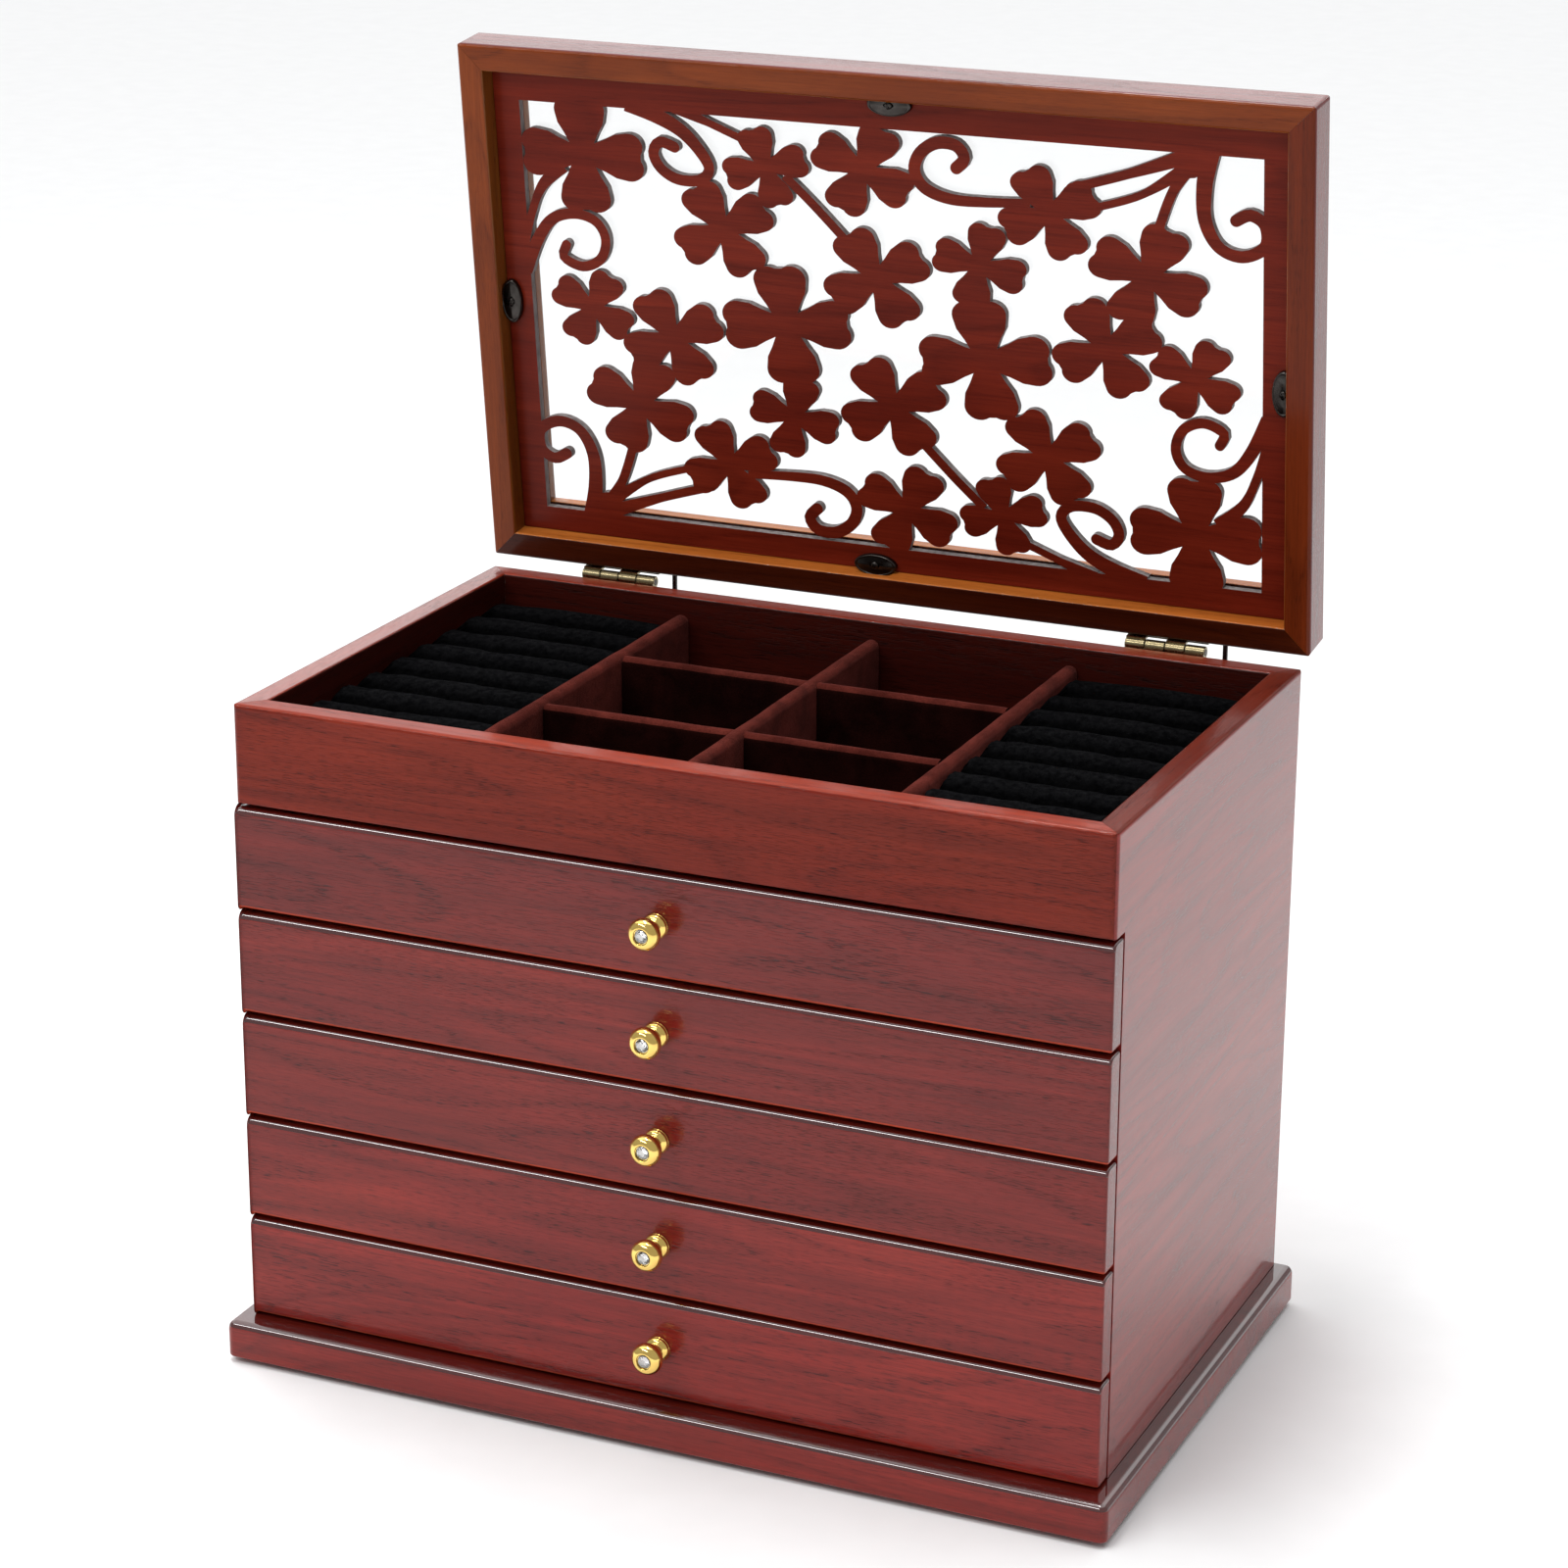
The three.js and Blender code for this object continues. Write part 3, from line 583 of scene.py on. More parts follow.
def build_case():
    front = bar(
        board_section(TRAY_Z, RIM_Z, 0.9 * MM), -CASE_X + SEAM, CASE_X - SEAM, CASE_CORNER
    )
    piece(
        "rim_front", mark_board(front), "chest",
        [
            wood("front_board_wood", FRONT_RED, seed=1.3, coat=(0.45, 0.05, 1.38)),
            shaded_wall_wood("front_shaded_wall_wood", "X", 51.0),
            lit_edge_wood("front_lit_edge_wood", "X", 61.0, 1.1, 0.4),
        ],
        ["tray_front"], Matrix.Translation((0, FRONT_Y, 0)),
    )
    back = bar(board_section(BODY_Z, RIM_Z), -CASE_X + SEAM, CASE_X - SEAM, CASE_CORNER)
    piece(
        "rim_back", mark_board(back), "chest",
        [
            red_wood("back_board_wood", seed=2.9),
            shaded_wall_wood("back_shaded_wall_wood", "X", 54.0),
            lit_edge_wood("back_lit_edge_wood", "X", 64.0),
        ],
        ["back_panel"],
        Matrix.Translation((0, BACK_Y, 0)) @ Matrix.Rotation(math.pi, 4, "Z"),
    )
    # Painted light: the side boards are made 1.5 times lighter than the stain, and the last two
    # numbers make the right side's lit top darker and less glossy than the left's.
    for name, side, seed, tone, gloss in (
        ("left", -1, 4.1, 0.9, 1.0), ("right", 1, 6.7, 0.5, 0.2)
    ):
        upper = bar(
            board_section(TRAY_Z, RIM_Z), FRONT_Y + SEAM, BACK_Y - SEAM, CASE_CORNER
        )
        lower = bar(
            filleted([(0, BODY_Z, 0), (0, TRAY_Z, 0), (BOARD, TRAY_Z, 0), (BOARD, BODY_Z, 0)]),
            FRONT_Y + BOARD, BACK_Y - SEAM, CASE_CORNER, (False, True),
        )
        place = Matrix.Translation((CASE_X, 0, 0)) @ Matrix.Rotation(math.pi / 2, 4, "Z")
        if side < 0:
            place = Matrix.Scale(-1, 4, (1, 0, 0)) @ place
        piece(
            f"rim_{name}", mark_board(merged(upper, lower)), "chest",
            [
                red_wood(f"{name}_board_wood", "Y", seed=seed, pores=0.6, tone=1.5),
                shaded_wall_wood(f"{name}_shaded_wall_wood", "Y", seed + 50),
                lit_edge_wood(f"{name}_lit_edge_wood", "Y", seed + 60, tone, gloss),
            ],
            [f"side_{name}"], place,
        )


def build_plinth():
    low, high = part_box("plinth")
    bm = block(low, high)
    top = lambda e: all(v.co.z > high.z - MM for v in e.verts)
    upright = lambda e: abs(e.verts[0].co.z - e.verts[1].co.z) > MM
    soften(bm, 3.2 * MM, lambda e: top(e) or upright(e), 5)
    soften(bm, 0.9 * MM, lambda e: all(v.co.z < low.z + 0.1 * MM for v in e.verts), 3)
    # painted shade on the plinth's top faces and its rounded top edges
    mark(bm, lambda face: face.normal.z > 0.2 and face.calc_center_median().z > low.z + MM)
    piece(
        "foot_board", bm, "chest",
        [
            red_wood("plinth_wood", seed=8.3, pores=0.6, tone=1.3),
            shaded_edge_wood("plinth_shaded_edge_wood", "X", 9.9),
        ],
        ["plinth"],
    )
    recolour("base_felt", FELT)


# -------------------- the drawers
def build_drawer_front(number, seed, tone):
    name = f"drawer_{number}"
    low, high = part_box(f"{name}_front")
    depth = high.y - low.y
    section = filleted(
        [(0, low.z, 1.5 * MM), (0, high.z, 3.2 * MM), (depth, high.z, 0), (depth, low.z, 0)],
        7,
    )
    bm = bar(section, low.x, high.x, mitres=(False, False))
    at_end = lambda e: all(abs(abs(v.co.x) - high.x) < 0.01 * MM for v in e.verts)
    soften(bm, 1.0 * MM, at_end, 3)
    bm.normal_update()
    # painted shade on the top rounding; painted light on the bottom rounding, where bounced light
    # falls
    mark(bm, lambda face: face.normal.z > 0.2)
    mark(bm, lambda face: face.normal.z < -0.2, 2)
    piece(
        f"{name}_face", bm, name,
        [
            red_wood(f"{name}_wood", seed=seed, tone=tone),
            shaded_edge_wood(f"{name}_shaded_edge_wood", "X", seed + 70),
            lit_edge_wood(f"{name}_lit_edge_wood", "X", seed + 90, 1.5, 0.3),
        ],
        [f"{name}_front"], Matrix.Translation((0, low.y, 0)),
    )


def build_drawer_box(number):
    """The drawer's box in plain wood, lined with velvet inside."""
    name = f"drawer_{number}"
    low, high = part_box(f"{name}_box")
    bm = bmesh.new()
    bm.from_mesh(NODES[f"{name}_box"].data)
    bmesh.ops.remove_doubles(bm, verts=bm.verts, dist=1e-6)
    bmesh.ops.dissolve_limit(bm, angle_limit=0.02, verts=bm.verts, edges=bm.edges)
    for face in bm.faces:
        centre = face.calc_center_median()
        inside = low.x + MM < centre.x < high.x - MM and centre.z < high.z - MM
        inside = inside and centre.z > low.z + MM and low.y + MM < centre.y < high.y - MM
        face.material_index = 1 if inside else 0
    at_top = lambda e: all(v.co.z > high.z - 0.1 * MM for v in e.verts)
    soften(bm, 0.8 * MM, at_top, 3)
    piece(f"{name}_tray", bm, name, [CARCASS, VELVET], [f"{name}_box"])


# radius and distance from the drawer front, in millimetres
KNOB_PROFILE = [
    (0, 0.3), (4.5, 0.3), (4.7, 0.8), (4.6, 1.7), (3.9, 2.5), (3.1, 3.1), (2.9, 4.4), (3.2, 5.5),
    (4.5, 6.5), (5.5, 7.5), (5.95, 8.8), (5.95, 10.0), (5.5, 11.1), (4.6, 12.1), (3.6, 12.65),
    (3.05, 12.7), (2.75, 12.35), (2.7, 12.05), (0, 12.05),
]
FOIL_R = 2.6 * MM
FOIL_LOW = 12.06 * MM
GEM_FOOT = 12.1 * MM  # where the point of the stone stands, from the drawer front


def knob_mesh():
    profile = catmull_rom(KNOB_PROFILE, lambda length: 4)
    return lathe([(max(0.0, p.x) * MM, p.y * MM) for p in profile], 56)


def gem_mesh():
    """A round brilliant: a girdle, kite and star facets, and a flat table over a foil seat."""
    bm = bmesh.new()
    under = bm.verts.new((0, 0, GEM_FOOT))
    rim = circle(bm, 2.5 * MM, GEM_FOOT + 0.35 * MM, 16)
    star = circle(bm, 1.95 * MM, GEM_FOOT + 0.77 * MM, 8, 0.5)
    top = circle(bm, 1.35 * MM, GEM_FOOT + 1.15 * MM, 8)
    for k in range(8):
        a, b, c = rim[2 * k], rim[2 * k + 1], rim[(2 * k + 2) % 16]
        bm.faces.new((a, b, star[k]))
        bm.faces.new((b, c, star[k]))
        bm.faces.new((a, star[k], top[k]))
        bm.faces.new((star[k], c, top[(k + 1) % 8]))
        bm.faces.new((star[k], top[(k + 1) % 8], top[k]))
    bm.faces.new(top)
    for k in range(16):
        bm.faces.new((rim[(k + 1) % 16], rim[k], under))
    return bm


def build_knob(number):
    name = f"drawer_{number}"
    low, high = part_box(f"{name}_front")
    middle = Vector(((low.x + high.x) / 2, low.y, (low.z + high.z) / 2))
    place = Matrix.Translation(middle) @ Matrix.Rotation(math.pi / 2, 4, "X")
    piece(f"{name}_pull", knob_mesh(), name, [GOLD], [f"{name}_knob"], place, 60, False)
    turn = place @ Matrix.Rotation(0.4 * number, 4, "Z")
    piece(f"{name}_stone", gem_mesh(), name, [CRYSTAL], [f"{name}_gem"], turn, 5, False)
    foil = [(0, FOIL_LOW), (FOIL_R, FOIL_LOW), (FOIL_R, GEM_FOOT), (0, GEM_FOOT)]
    piece(f"{name}_foil", lathe(foil, 32), name, [FOIL], (), place, 40, False)


def build_drawers():
    # the third number brightens the lower drawers: painted light for the bright floor that they
    # reflect
    for number, seed, tone in (
        (1, 11.7, 0.98), (2, 14.2, 1.08), (3, 17.9, 1.08), (4, 21.3, 1.3), (5, 25.6, 1.5)
    ):
        build_drawer_front(number, seed, tone)
        build_drawer_box(number)
        build_knob(number)
    for i in range(1, 5):
        recolour(f"drawer_shelf_{i}", CARCASS)


# -------------------- the tray
def wavy(bm, amount, size, seed):
    """Moves points a little, so that cloth isn't ruler straight."""
    for v in bm.verts:
        offset = noise.noise_vector(v.co / size + Vector((seed, 0, 0)))
        v.co += offset * amount


def build_divider(node, along, seed):
    low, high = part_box(node)
    long_side = high.x - low.x if along == "X" else high.y - low.y
    thick = high.y - low.y if along == "X" else high.x - low.x
    round_r = 0.46 * thick
    section = filleted(
        [(0, low.z, 0), (0, high.z, round_r), (thick, high.z, round_r), (thick, low.z, 0)], 6
    )
    bm = bar(section, 0, long_side, mitres=(False, False))
    cuts = int(long_side / (4 * MM))
    for k in range(1, cuts):
        plane = Vector((k * long_side / cuts, 0, 0))
        geometry = bm.verts[:] + bm.edges[:] + bm.faces[:]
        bmesh.ops.bisect_plane(bm, geom=geometry, plane_co=plane, plane_no=(1, 0, 0))
    for v in bm.verts:
        lift = noise.noise(Vector((v.co.x / (14 * MM), seed, 0.3)))
        v.co.z += lift * 0.25 * MM * (v.co.z > high.z - 4 * MM)
        v.co.y += noise.noise(Vector((v.co.x / (22 * MM), seed, 7.1))) * 0.18 * MM
    if along == "X":
        place = Matrix.Translation((low.x, low.y, 0))
        # painted shade: the upright faces of the cross dividers take the darker velvet
        mark(bm, lambda face: abs(face.normal.z) < 0.5)
    else:
        place = Matrix.Translation((high.x, low.y, 0)) @ Matrix.Rotation(math.pi / 2, 4, "Z")
    piece(f"{node}_cover", bm, "chest", [VELVET, SHADED_VELVET], [node], place, 60, False)


def build_tray():
    for seed, name in enumerate(("left", "middle", "right"), 1):
        build_divider(f"divider_{name}", "Y", seed)
    build_divider("cross_divider_front", "X", 4.0)
    build_divider("cross_divider_rear", "X", 5.0)
    recolour("tray_floor", VELVET)


ROLL_COUNT = 9
ROLL_ARC = 14
ROLL_SLICES = 26
ROLL_FOOT = 10 * MM  # from the top of a pad down to where its half rolls begin
SWELL_FRAMES = 20


def roll_bank(low, high):
    """Half rolls side by side on a flat base, drawn a little slack so that they can swell."""
    pitch = (high.y - low.y) / ROLL_COUNT
    crest = 9.0 * MM
    outline = [(low.y, low.z)]
    for r in range(ROLL_COUNT):
        for k in range(ROLL_ARC + 1):
            turn = math.pi * (1 - k / ROLL_ARC)
            if k == 0 and r > 0:
                continue
            y = low.y + (r + 0.5) * pitch + pitch / 2 * math.cos(turn)
            z = high.z - ROLL_FOOT + crest * math.sin(turn) ** 0.8
            outline.append((y, z))
    outline.append((high.y, low.z))
    bm = bmesh.new()
    rings = []
    for s in range(ROLL_SLICES + 1):
        x = low.x + (high.x - low.x) * s / ROLL_SLICES
        rings.append([bm.verts.new((x, y, z)) for y, z in outline])
    skin(bm, rings)
    bmesh.ops.triangulate(bm, faces=[f for f in bm.faces if len(f.verts) > 4])
    return bm, pitch


def swell(obj, held, pressure, cap):
    """Inflates a pad as cloth with some points held; no point moves further than cap."""
    rest = [v.co.copy() for v in obj.data.vertices]
    group = obj.vertex_groups.new(name="held")
    group.add(held, 1.0, "REPLACE")
    cloth = obj.modifiers.new("cloth", "CLOTH")
    settings = cloth.settings
    settings.quality = 5
    settings.mass = 0.2
    settings.tension_stiffness = settings.compression_stiffness = 12
    settings.shear_stiffness = 6
    settings.bending_stiffness = 0.3
    settings.use_pressure = True
    settings.uniform_pressure_force = pressure
    settings.vertex_group_mass = "held"
    settings.effector_weights.gravity = 0
    settings.shrink_min = -0.01
    cloth.point_cache.frame_start, cloth.point_cache.frame_end = 1, SWELL_FRAMES
    for step in range(1, SWELL_FRAMES + 1):
        SCENE.frame_set(step)
    depsgraph = bpy.context.evaluated_depsgraph_get()
    swollen = obj.evaluated_get(depsgraph).data
    moved = [v.co.copy() for v in swollen.vertices]
    obj.modifiers.remove(cloth)
    for v, start, end in zip(obj.data.vertices, rest, moved):
        shift = end - start
        if shift.length > cap:
            shift = shift.normalized() * cap
        v.co = start + shift
    SCENE.frame_set(1)


def build_rolls(side, seed):
    node = f"ring_rolls_{side}"
    low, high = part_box(node)
    bm, pitch = roll_bank(low, high)
    wavy(bm, 0.10 * MM, 9 * MM, seed)
    wavy(bm, 0.25 * MM, 40 * MM, seed + 5)
    obj = piece(
        f"{node}_pad", bm, "chest", [BLACK_VELVET], [node], None, 180, False
    )
    held = []
    for v in obj.data.vertices:
        valley = abs((v.co.y - low.y) / pitch - round((v.co.y - low.y) / pitch)) < 0.05
        if valley or v.co.z < high.z - 12 * MM:
            held.append(v.index)
    swell(obj, held, 4.0, 0.6 * MM)
    for v in obj.data.vertices:
        v.co.x = min(max(v.co.x, low.x), high.x)
        v.co.y = min(max(v.co.y, low.y), high.y)
    fine = obj.modifiers.new("fine", "SUBSURF")
    fine.levels = fine.render_levels = 1


# -------------------- the lid
LID_LOW, LID_HIGH = closed_box(
    "lid_rail_front", "lid_rail_back", "lid_rail_left", "lid_rail_right"
)
FRET_LOW, FRET_HIGH = closed_box("lid_fretwork")
RAIL_W = FRET_LOW.x - LID_LOW.x - GAP
LIP_Z = closed_box("lid_glass")[1].z + GAP
LIP_W = 2 * RAIL_W
LID_CORNER = 1.7 * MM
PLATE_LOW, PLATE_HIGH = closed_box("lid_plate_back")
PLATE_A = (PLATE_HIGH.x - PLATE_LOW.x) / 2
PLATE_B = (PLATE_HIGH.y - PLATE_LOW.y) / 2
SLOT_ROOM = 1.6 * MM  # how far a slot goes on over the face of its plate


def slotted(bm, x, y, z0, z1):
    """Cuts the slot that takes one side of an oval plate into a rail's inner wall."""
    oval = lathe([(0, z0), (1, z0), (1, z1), (0, z1)], 40)
    size = Matrix.Diagonal((PLATE_A + GAP, PLATE_B + GAP, 1, 1))
    bmesh.ops.transform(oval, matrix=Matrix.Translation((x, y, 0)) @ size, verts=oval.verts)
    bmesh.ops.recalc_face_normals(oval, faces=oval.faces)
    bmesh.ops.recalc_face_normals(bm, faces=bm.faces)
    rail = combined(hidden_object("rail", bm), hidden_object("slot", oval), "DIFFERENCE")
    return taken(rail)


def build_lid_frame():
    z0, z1 = LID_LOW.z, LID_HIGH.z
    section = filleted(
        [
            (0, z0, 1.6 * MM),
            (0, z1, 2.0 * MM),
            (LIP_W, z1, 1.2 * MM),
            (LIP_W, LIP_Z, 0.4 * MM),
            (RAIL_W, LIP_Z, 0),
            (RAIL_W, z0, 0.9 * MM),
        ]
    )
    centre = (LID_LOW + LID_HIGH) / 2
    long_half = (LID_HIGH.x - LID_LOW.x) / 2 - SEAM
    short_half = (LID_HIGH.y - LID_LOW.y) / 2 - SEAM
    rails = (
        ("front", 0, long_half, (0, LID_LOW.y), "X", 31.0, 1.0, 0.5),
        ("back", 180, long_half, (0, LID_HIGH.y), "X", 34.0, (0.264, 0.192, 0.192), 0.9),
        ("left", -90, short_half, (LID_LOW.x, centre.y), "Y", 37.0, 1.0, 0.35),
        ("right", 90, short_half, (LID_HIGH.x, centre.y), "Y", 41.0, (0.715, 0.52, 0.52), 0.5),
    )
    # the last two numbers: painted shade on the face that shows with the lid open, darkest on the
    # back and right rails; painted light and shade on the wall round the panel, brightest on the
    # back rail, which faces up
    for name, turn, half, (x, y), grain, seed, tint, wall_light_and_shade in rails:
        bm = bar(section, -half, half, LID_CORNER)
        low, high = closed_box(f"lid_plate_{name}")
        at = (low + high) / 2
        away = Matrix.Rotation(math.radians(-turn), 4, "Z") @ Vector((at.x - x, at.y - y, 0))
        bm = slotted(bm, away.x, away.y, low.z - SLOT_ROOM, high.z + GAP)
        mark(bm, lambda face: face.normal.z < -0.5)
        mark(bm, lambda face: face.normal.y > 0.7, 2)
        swing = Matrix.Translation((x, y, 0)) @ Matrix.Rotation(math.radians(turn), 4, "Z")
        outer = red_wood(f"lid_{name}_wood", grain, seed, pores=0.6, tone=0.85, turn=LID_TURN)
        inner = wood(
            f"lid_{name}_inner_wood", toned(TAN, tint), grain, turn=LID_TURN, seed=seed + 20,
            pores=0.5, coat=(0.35, 0.12, 1.38),
        )
        ledge = wood(
            f"lid_{name}_ledge_wood", toned(LEDGE, wall_light_and_shade), grain, turn=LID_TURN,
            seed=seed + 40, pores=0.5, coat=(0.6, 0.08, 1.38),
        )
        piece(
            f"lid_frame_{name}", bm, "lid", [outer, inner, ledge], [f"lid_rail_{name}"],
            LID @ swing,
        )


# The fretwork, from the middle of its window, in millimetres, seen from the front with the lid
# open: x to the right, y away from the hinges. Half of it is listed; the other half is the same
# turned by half a turn.
WINDOW_W, WINDOW_D = 300.0, 167.4
WINDOW_SHIFT = 1.3  # the window's centre lies this far towards the hinges

# centre x and y, radius, angle of the first leaf in degrees
CLOVERS = [
    (-124, 64, 26, 1),
    (-65.5, 39.1, 21.7, 32),
    (-46.8, 65, 17.7, 17),
    (-7, 67.2, 21, 63),
    (-2.6, 25.4, 22.4, 31),
    (-40.8, 3.2, 26.6, 6),
    (-89.4, -6.6, 22, 29),
    (-123.8, 2.3, 18, 60),
    (-105.6, -35.8, 23, 67),
    (-67.4, -56.8, 20.4, 27),
    (-39.2, -34, 18.6, 76),
]

# width at the root and at the tip, then the centre line
STROKES = [
    (
        5.4, 4,
        (-152, 15), (-146, 28), (-139, 37), (-129, 40), (-120, 37.5), (-116.3, 30.5),
        (-119, 22.5), (-127, 18.8), (-135, 22), (-133.5, 27),
    ),
    (6, 3.4, (-133, 59), (-142.5, 50), (-148, 38), (-151.5, 26)),
    (
        7, 4.4,
        (-104, 86), (-92, 82), (-81.5, 76.8), (-74, 69.5), (-70.3, 62.5), (-74.5, 57.8),
        (-84, 57.5), (-91, 61.5), (-93.6, 67.3), (-90.5, 71.6), (-84.5, 70),
    ),
    (5.5, 3, (-84, 86), (-68, 80), (-55, 75)),
    (3.6, 3.6, (-39, 62.5), (-27, 51.5), (-14, 38.5)),
    (
        7, 4.6,
        (-130, -85), (-127.5, -72), (-127.8, -59), (-133, -49.5), (-142, -46.6),
        (-150.5, -51), (-150.5, -59), (-145, -62.5), (-139.5, -60),
    ),
    (12, 9, (-123, -88), (-122.5, -79)),
    (7, 3.8, (-125, -84), (-115.5, -69), (-109.5, -53)),
    (5.5, 3, (-122, -79), (-104, -67), (-86, -60.5)),
    (6, 3.6, (-121, -82.5), (-98, -74), (-76, -67)),
    (
        3.2, 4.8,
        (-60, -60), (-42, -58.8), (-28, -59), (-18, -62.5), (-14.2, -69), (-16.8, -75.8),
        (-23.5, -80), (-31, -79.6), (-34.3, -75), (-31, -71),
    ),
]
CLOVER_FLAT = 0.88  # height of a clover for its width
# a leaf, in shares of the clover's radius: along the leaf, then to the side
LEAF_ROOT = (0.36, 0.275)
LEAF_WAIST = (0.54, 0.375)
LOBE_R, LOBE_ASIDE = 0.23, 0.185
LOBE_OUT, LOBE_IN = 1.75, 0.6  # radians a lobe turns to its outer and inner side
LOBE_STEPS = 9
STROKE_STEP = 1.6


def clover_outline(x, y, radius, angle):
    """Four heart-shaped leaves; each bulges from its notch over two round lobes."""
    lobe = LOBE_R * radius
    outline = []

    def put(turn, along, aside):
        c, s = math.cos(turn), math.sin(turn)
        outline.append((x + along * c - aside * s, y + CLOVER_FLAT * (along * s + aside * c)))

    for leaf in range(4):
        turn = math.radians(angle + 90 * leaf)
        put(turn - math.pi / 4, 0.29 * radius, 0)
        for along, aside in (LEAF_ROOT, LEAF_WAIST):
            put(turn, along * radius, -aside * radius)
        for side, start in ((-1, -LOBE_OUT), (1, -LOBE_IN)):
            for i in range(LOBE_STEPS + 1):
                a = start + (LOBE_OUT + LOBE_IN) * i / LOBE_STEPS
                along = radius - lobe + lobe * math.cos(a)
                put(turn, along, side * LOBE_ASIDE * radius + lobe * math.sin(a))
        for along, aside in (LEAF_WAIST, LEAF_ROOT):
            put(turn, along * radius, aside * radius)
    return outline


def stroke_outline(root, tip, *line):
    """A band of changing width along a smooth line, with a round tip."""
    points = catmull_rom(line, lambda length: max(2, round(length / STROKE_STEP)))
    total = sum((b - a).length for a, b in zip(points, points[1:]))
    left, right, gone = [], [], 0.0
    for i, p in enumerate(points):
        ahead = (points[min(i + 1, len(points) - 1)] - points[max(i - 1, 0)]).normalized()
        if i:
            gone += (p - points[i - 1]).length
        half = (root + (tip - root) * min(1.0, 2 * gone / total)) / 2
        aside = Vector((-ahead.y, ahead.x)) * half
        left.append(p + aside)
        right.append(p - aside)
    end = points[-1]
    ahead = (end - points[-2]).normalized() * tip / 2
    aside = Vector((-ahead.y, ahead.x))
    cap = [
        end + ahead * math.sin(t) - aside * math.cos(t)
        for t in (k * math.pi / 8 for k in range(1, 8))
    ]
    return [tuple(p) for p in [*right, *cap, *reversed(left)]]


def slab(outline, z0, z1):
    """A closed prism over an outline in the XY plane."""
    bm = bmesh.new()
    low = [bm.verts.new((x, y, z0)) for x, y in outline]
    high = [bm.verts.new((x, y, z1)) for x, y in outline]
    bm.faces.new(low)
    bm.faces.new(high)
    for i in range(len(outline)):
        j = (i + 1) % len(outline)
        bm.faces.new((low[i], low[j], high[j], high[i]))
    bmesh.ops.recalc_face_normals(bm, faces=bm.faces)
    return bm


def rectangle(x0, x1, y0, y1):
    return [(x0, y0), (x1, y0), (x1, y1), (x0, y1)]


def build_fretwork():
    """The panel is drawn as it is seen from below, so its y runs away from the hinges."""
    thick = (FRET_HIGH.z - FRET_LOW.z) / MM
    half_x = (FRET_HIGH.x - FRET_LOW.x) / 2 / MM
    half_y = (FRET_HIGH.y - FRET_LOW.y) / 2 / MM
    outlines = [clover_outline(*c) for c in CLOVERS] + [stroke_outline(*s) for s in STROKES]
    outlines += [[(-x, -y) for x, y in outline] for outline in outlines]
    pattern = hidden_object("pattern", merged(*(slab(o, 0, thick) for o in outlines)))
    y0, y1 = -half_y + WINDOW_SHIFT, half_y + WINDOW_SHIFT
    sheet = rectangle(-half_x, half_x, y0, y1)
    window = rectangle(-WINDOW_W / 2, WINDOW_W / 2, -WINDOW_D / 2, WINDOW_D / 2)
    border = hidden_object("border", slab(sheet, 0, thick))
    combined(border, hidden_object("window", slab(window, -1, thick + 1)), "DIFFERENCE")
    combined(pattern, hidden_object("limit", slab(sheet, 0, thick)), "INTERSECT")
    panel = combined(border, pattern, "UNION")
    bm = taken(panel)
    bmesh.ops.remove_doubles(bm, verts=bm.verts, dist=1e-3)
    bmesh.ops.dissolve_limit(bm, angle_limit=0.002, verts=bm.verts, edges=bm.edges)
    inner_x, inner_y = half_x - 0.5, half_y - 0.5
    for face in bm.faces:
        centre = face.calc_center_median()
        upright = abs(face.normal.z) < 0.5
        within = abs(centre.x) < inner_x and abs(centre.y - WINDOW_SHIFT) < inner_y
        face.material_index = 1 if upright and within else 0
    middle = (FRET_LOW + FRET_HIGH) / 2
    place = LID @ Matrix.Translation((middle.x, middle.y, FRET_HIGH.z))
    place = place @ Matrix.Rotation(math.pi, 4, "X")
    place = place @ Matrix.Translation((0, -WINDOW_SHIFT * MM, 0)) @ Matrix.Scale(MM, 4)
    face_wood = wood(
        "fretwork_wood", PANEL_RED, turn=LID_TURN, seed=45.0, pores=0.3, coat=(0.16, 0.2, 1.38)
    )
    piece(
        "fretwork_panel", bm, "lid", [face_wood, CUT_BOARD], ["lid_fretwork"],
        place, 30,
    )


def cross_recess(bm, arm, slot, z0, z1):
    """Cuts a cross-shaped recess into a screw's head."""
    head = hidden_object("head", bm)
    for size in ((arm, slot), (slot, arm)):
        low = Vector((-size[0], -size[1], z0))
        high = Vector((size[0], size[1], z1))
        combined(head, hidden_object("slot", block(low, high)), "DIFFERENCE")
    return taken(head)


# a plate's radius as a share of its half width, and its height in millimetres
PLATE_PROFILE = [
    (0, 0), (1, 0), (1.0, 1.3), (0.985, 1.7), (0.95, 1.95), (0.92, 2.0), (0.89, 1.95),
    (0.86, 1.75), (0.78, 1.75), (0.5, 1.95), (0.24, 2.0), (0.215, 1.2), (0, 1.2),
]
# radius and height of a screw's head in its plate, in millimetres
SCREW_PROFILE = [
    (0, 1.3), (1.5, 1.3), (1.5, 2.0), (1.42, 2.35), (1.15, 2.6), (0.6, 2.74), (0, 2.78),
]


def plate_mesh():
    """An oval escutcheon: a raised rim round a face with a low ridge along it."""
    bm = lathe([(r, h * MM) for r, h in PLATE_PROFILE], 64)
    for v in bm.verts:
        ridge = max(0.0, 1 - abs(v.co.y) / 0.5) * (0.3 < v.co.xy.length < 0.8)
        v.co.z += 0.35 * MM * ridge * (v.co.z > 1.5 * MM)
    return bm


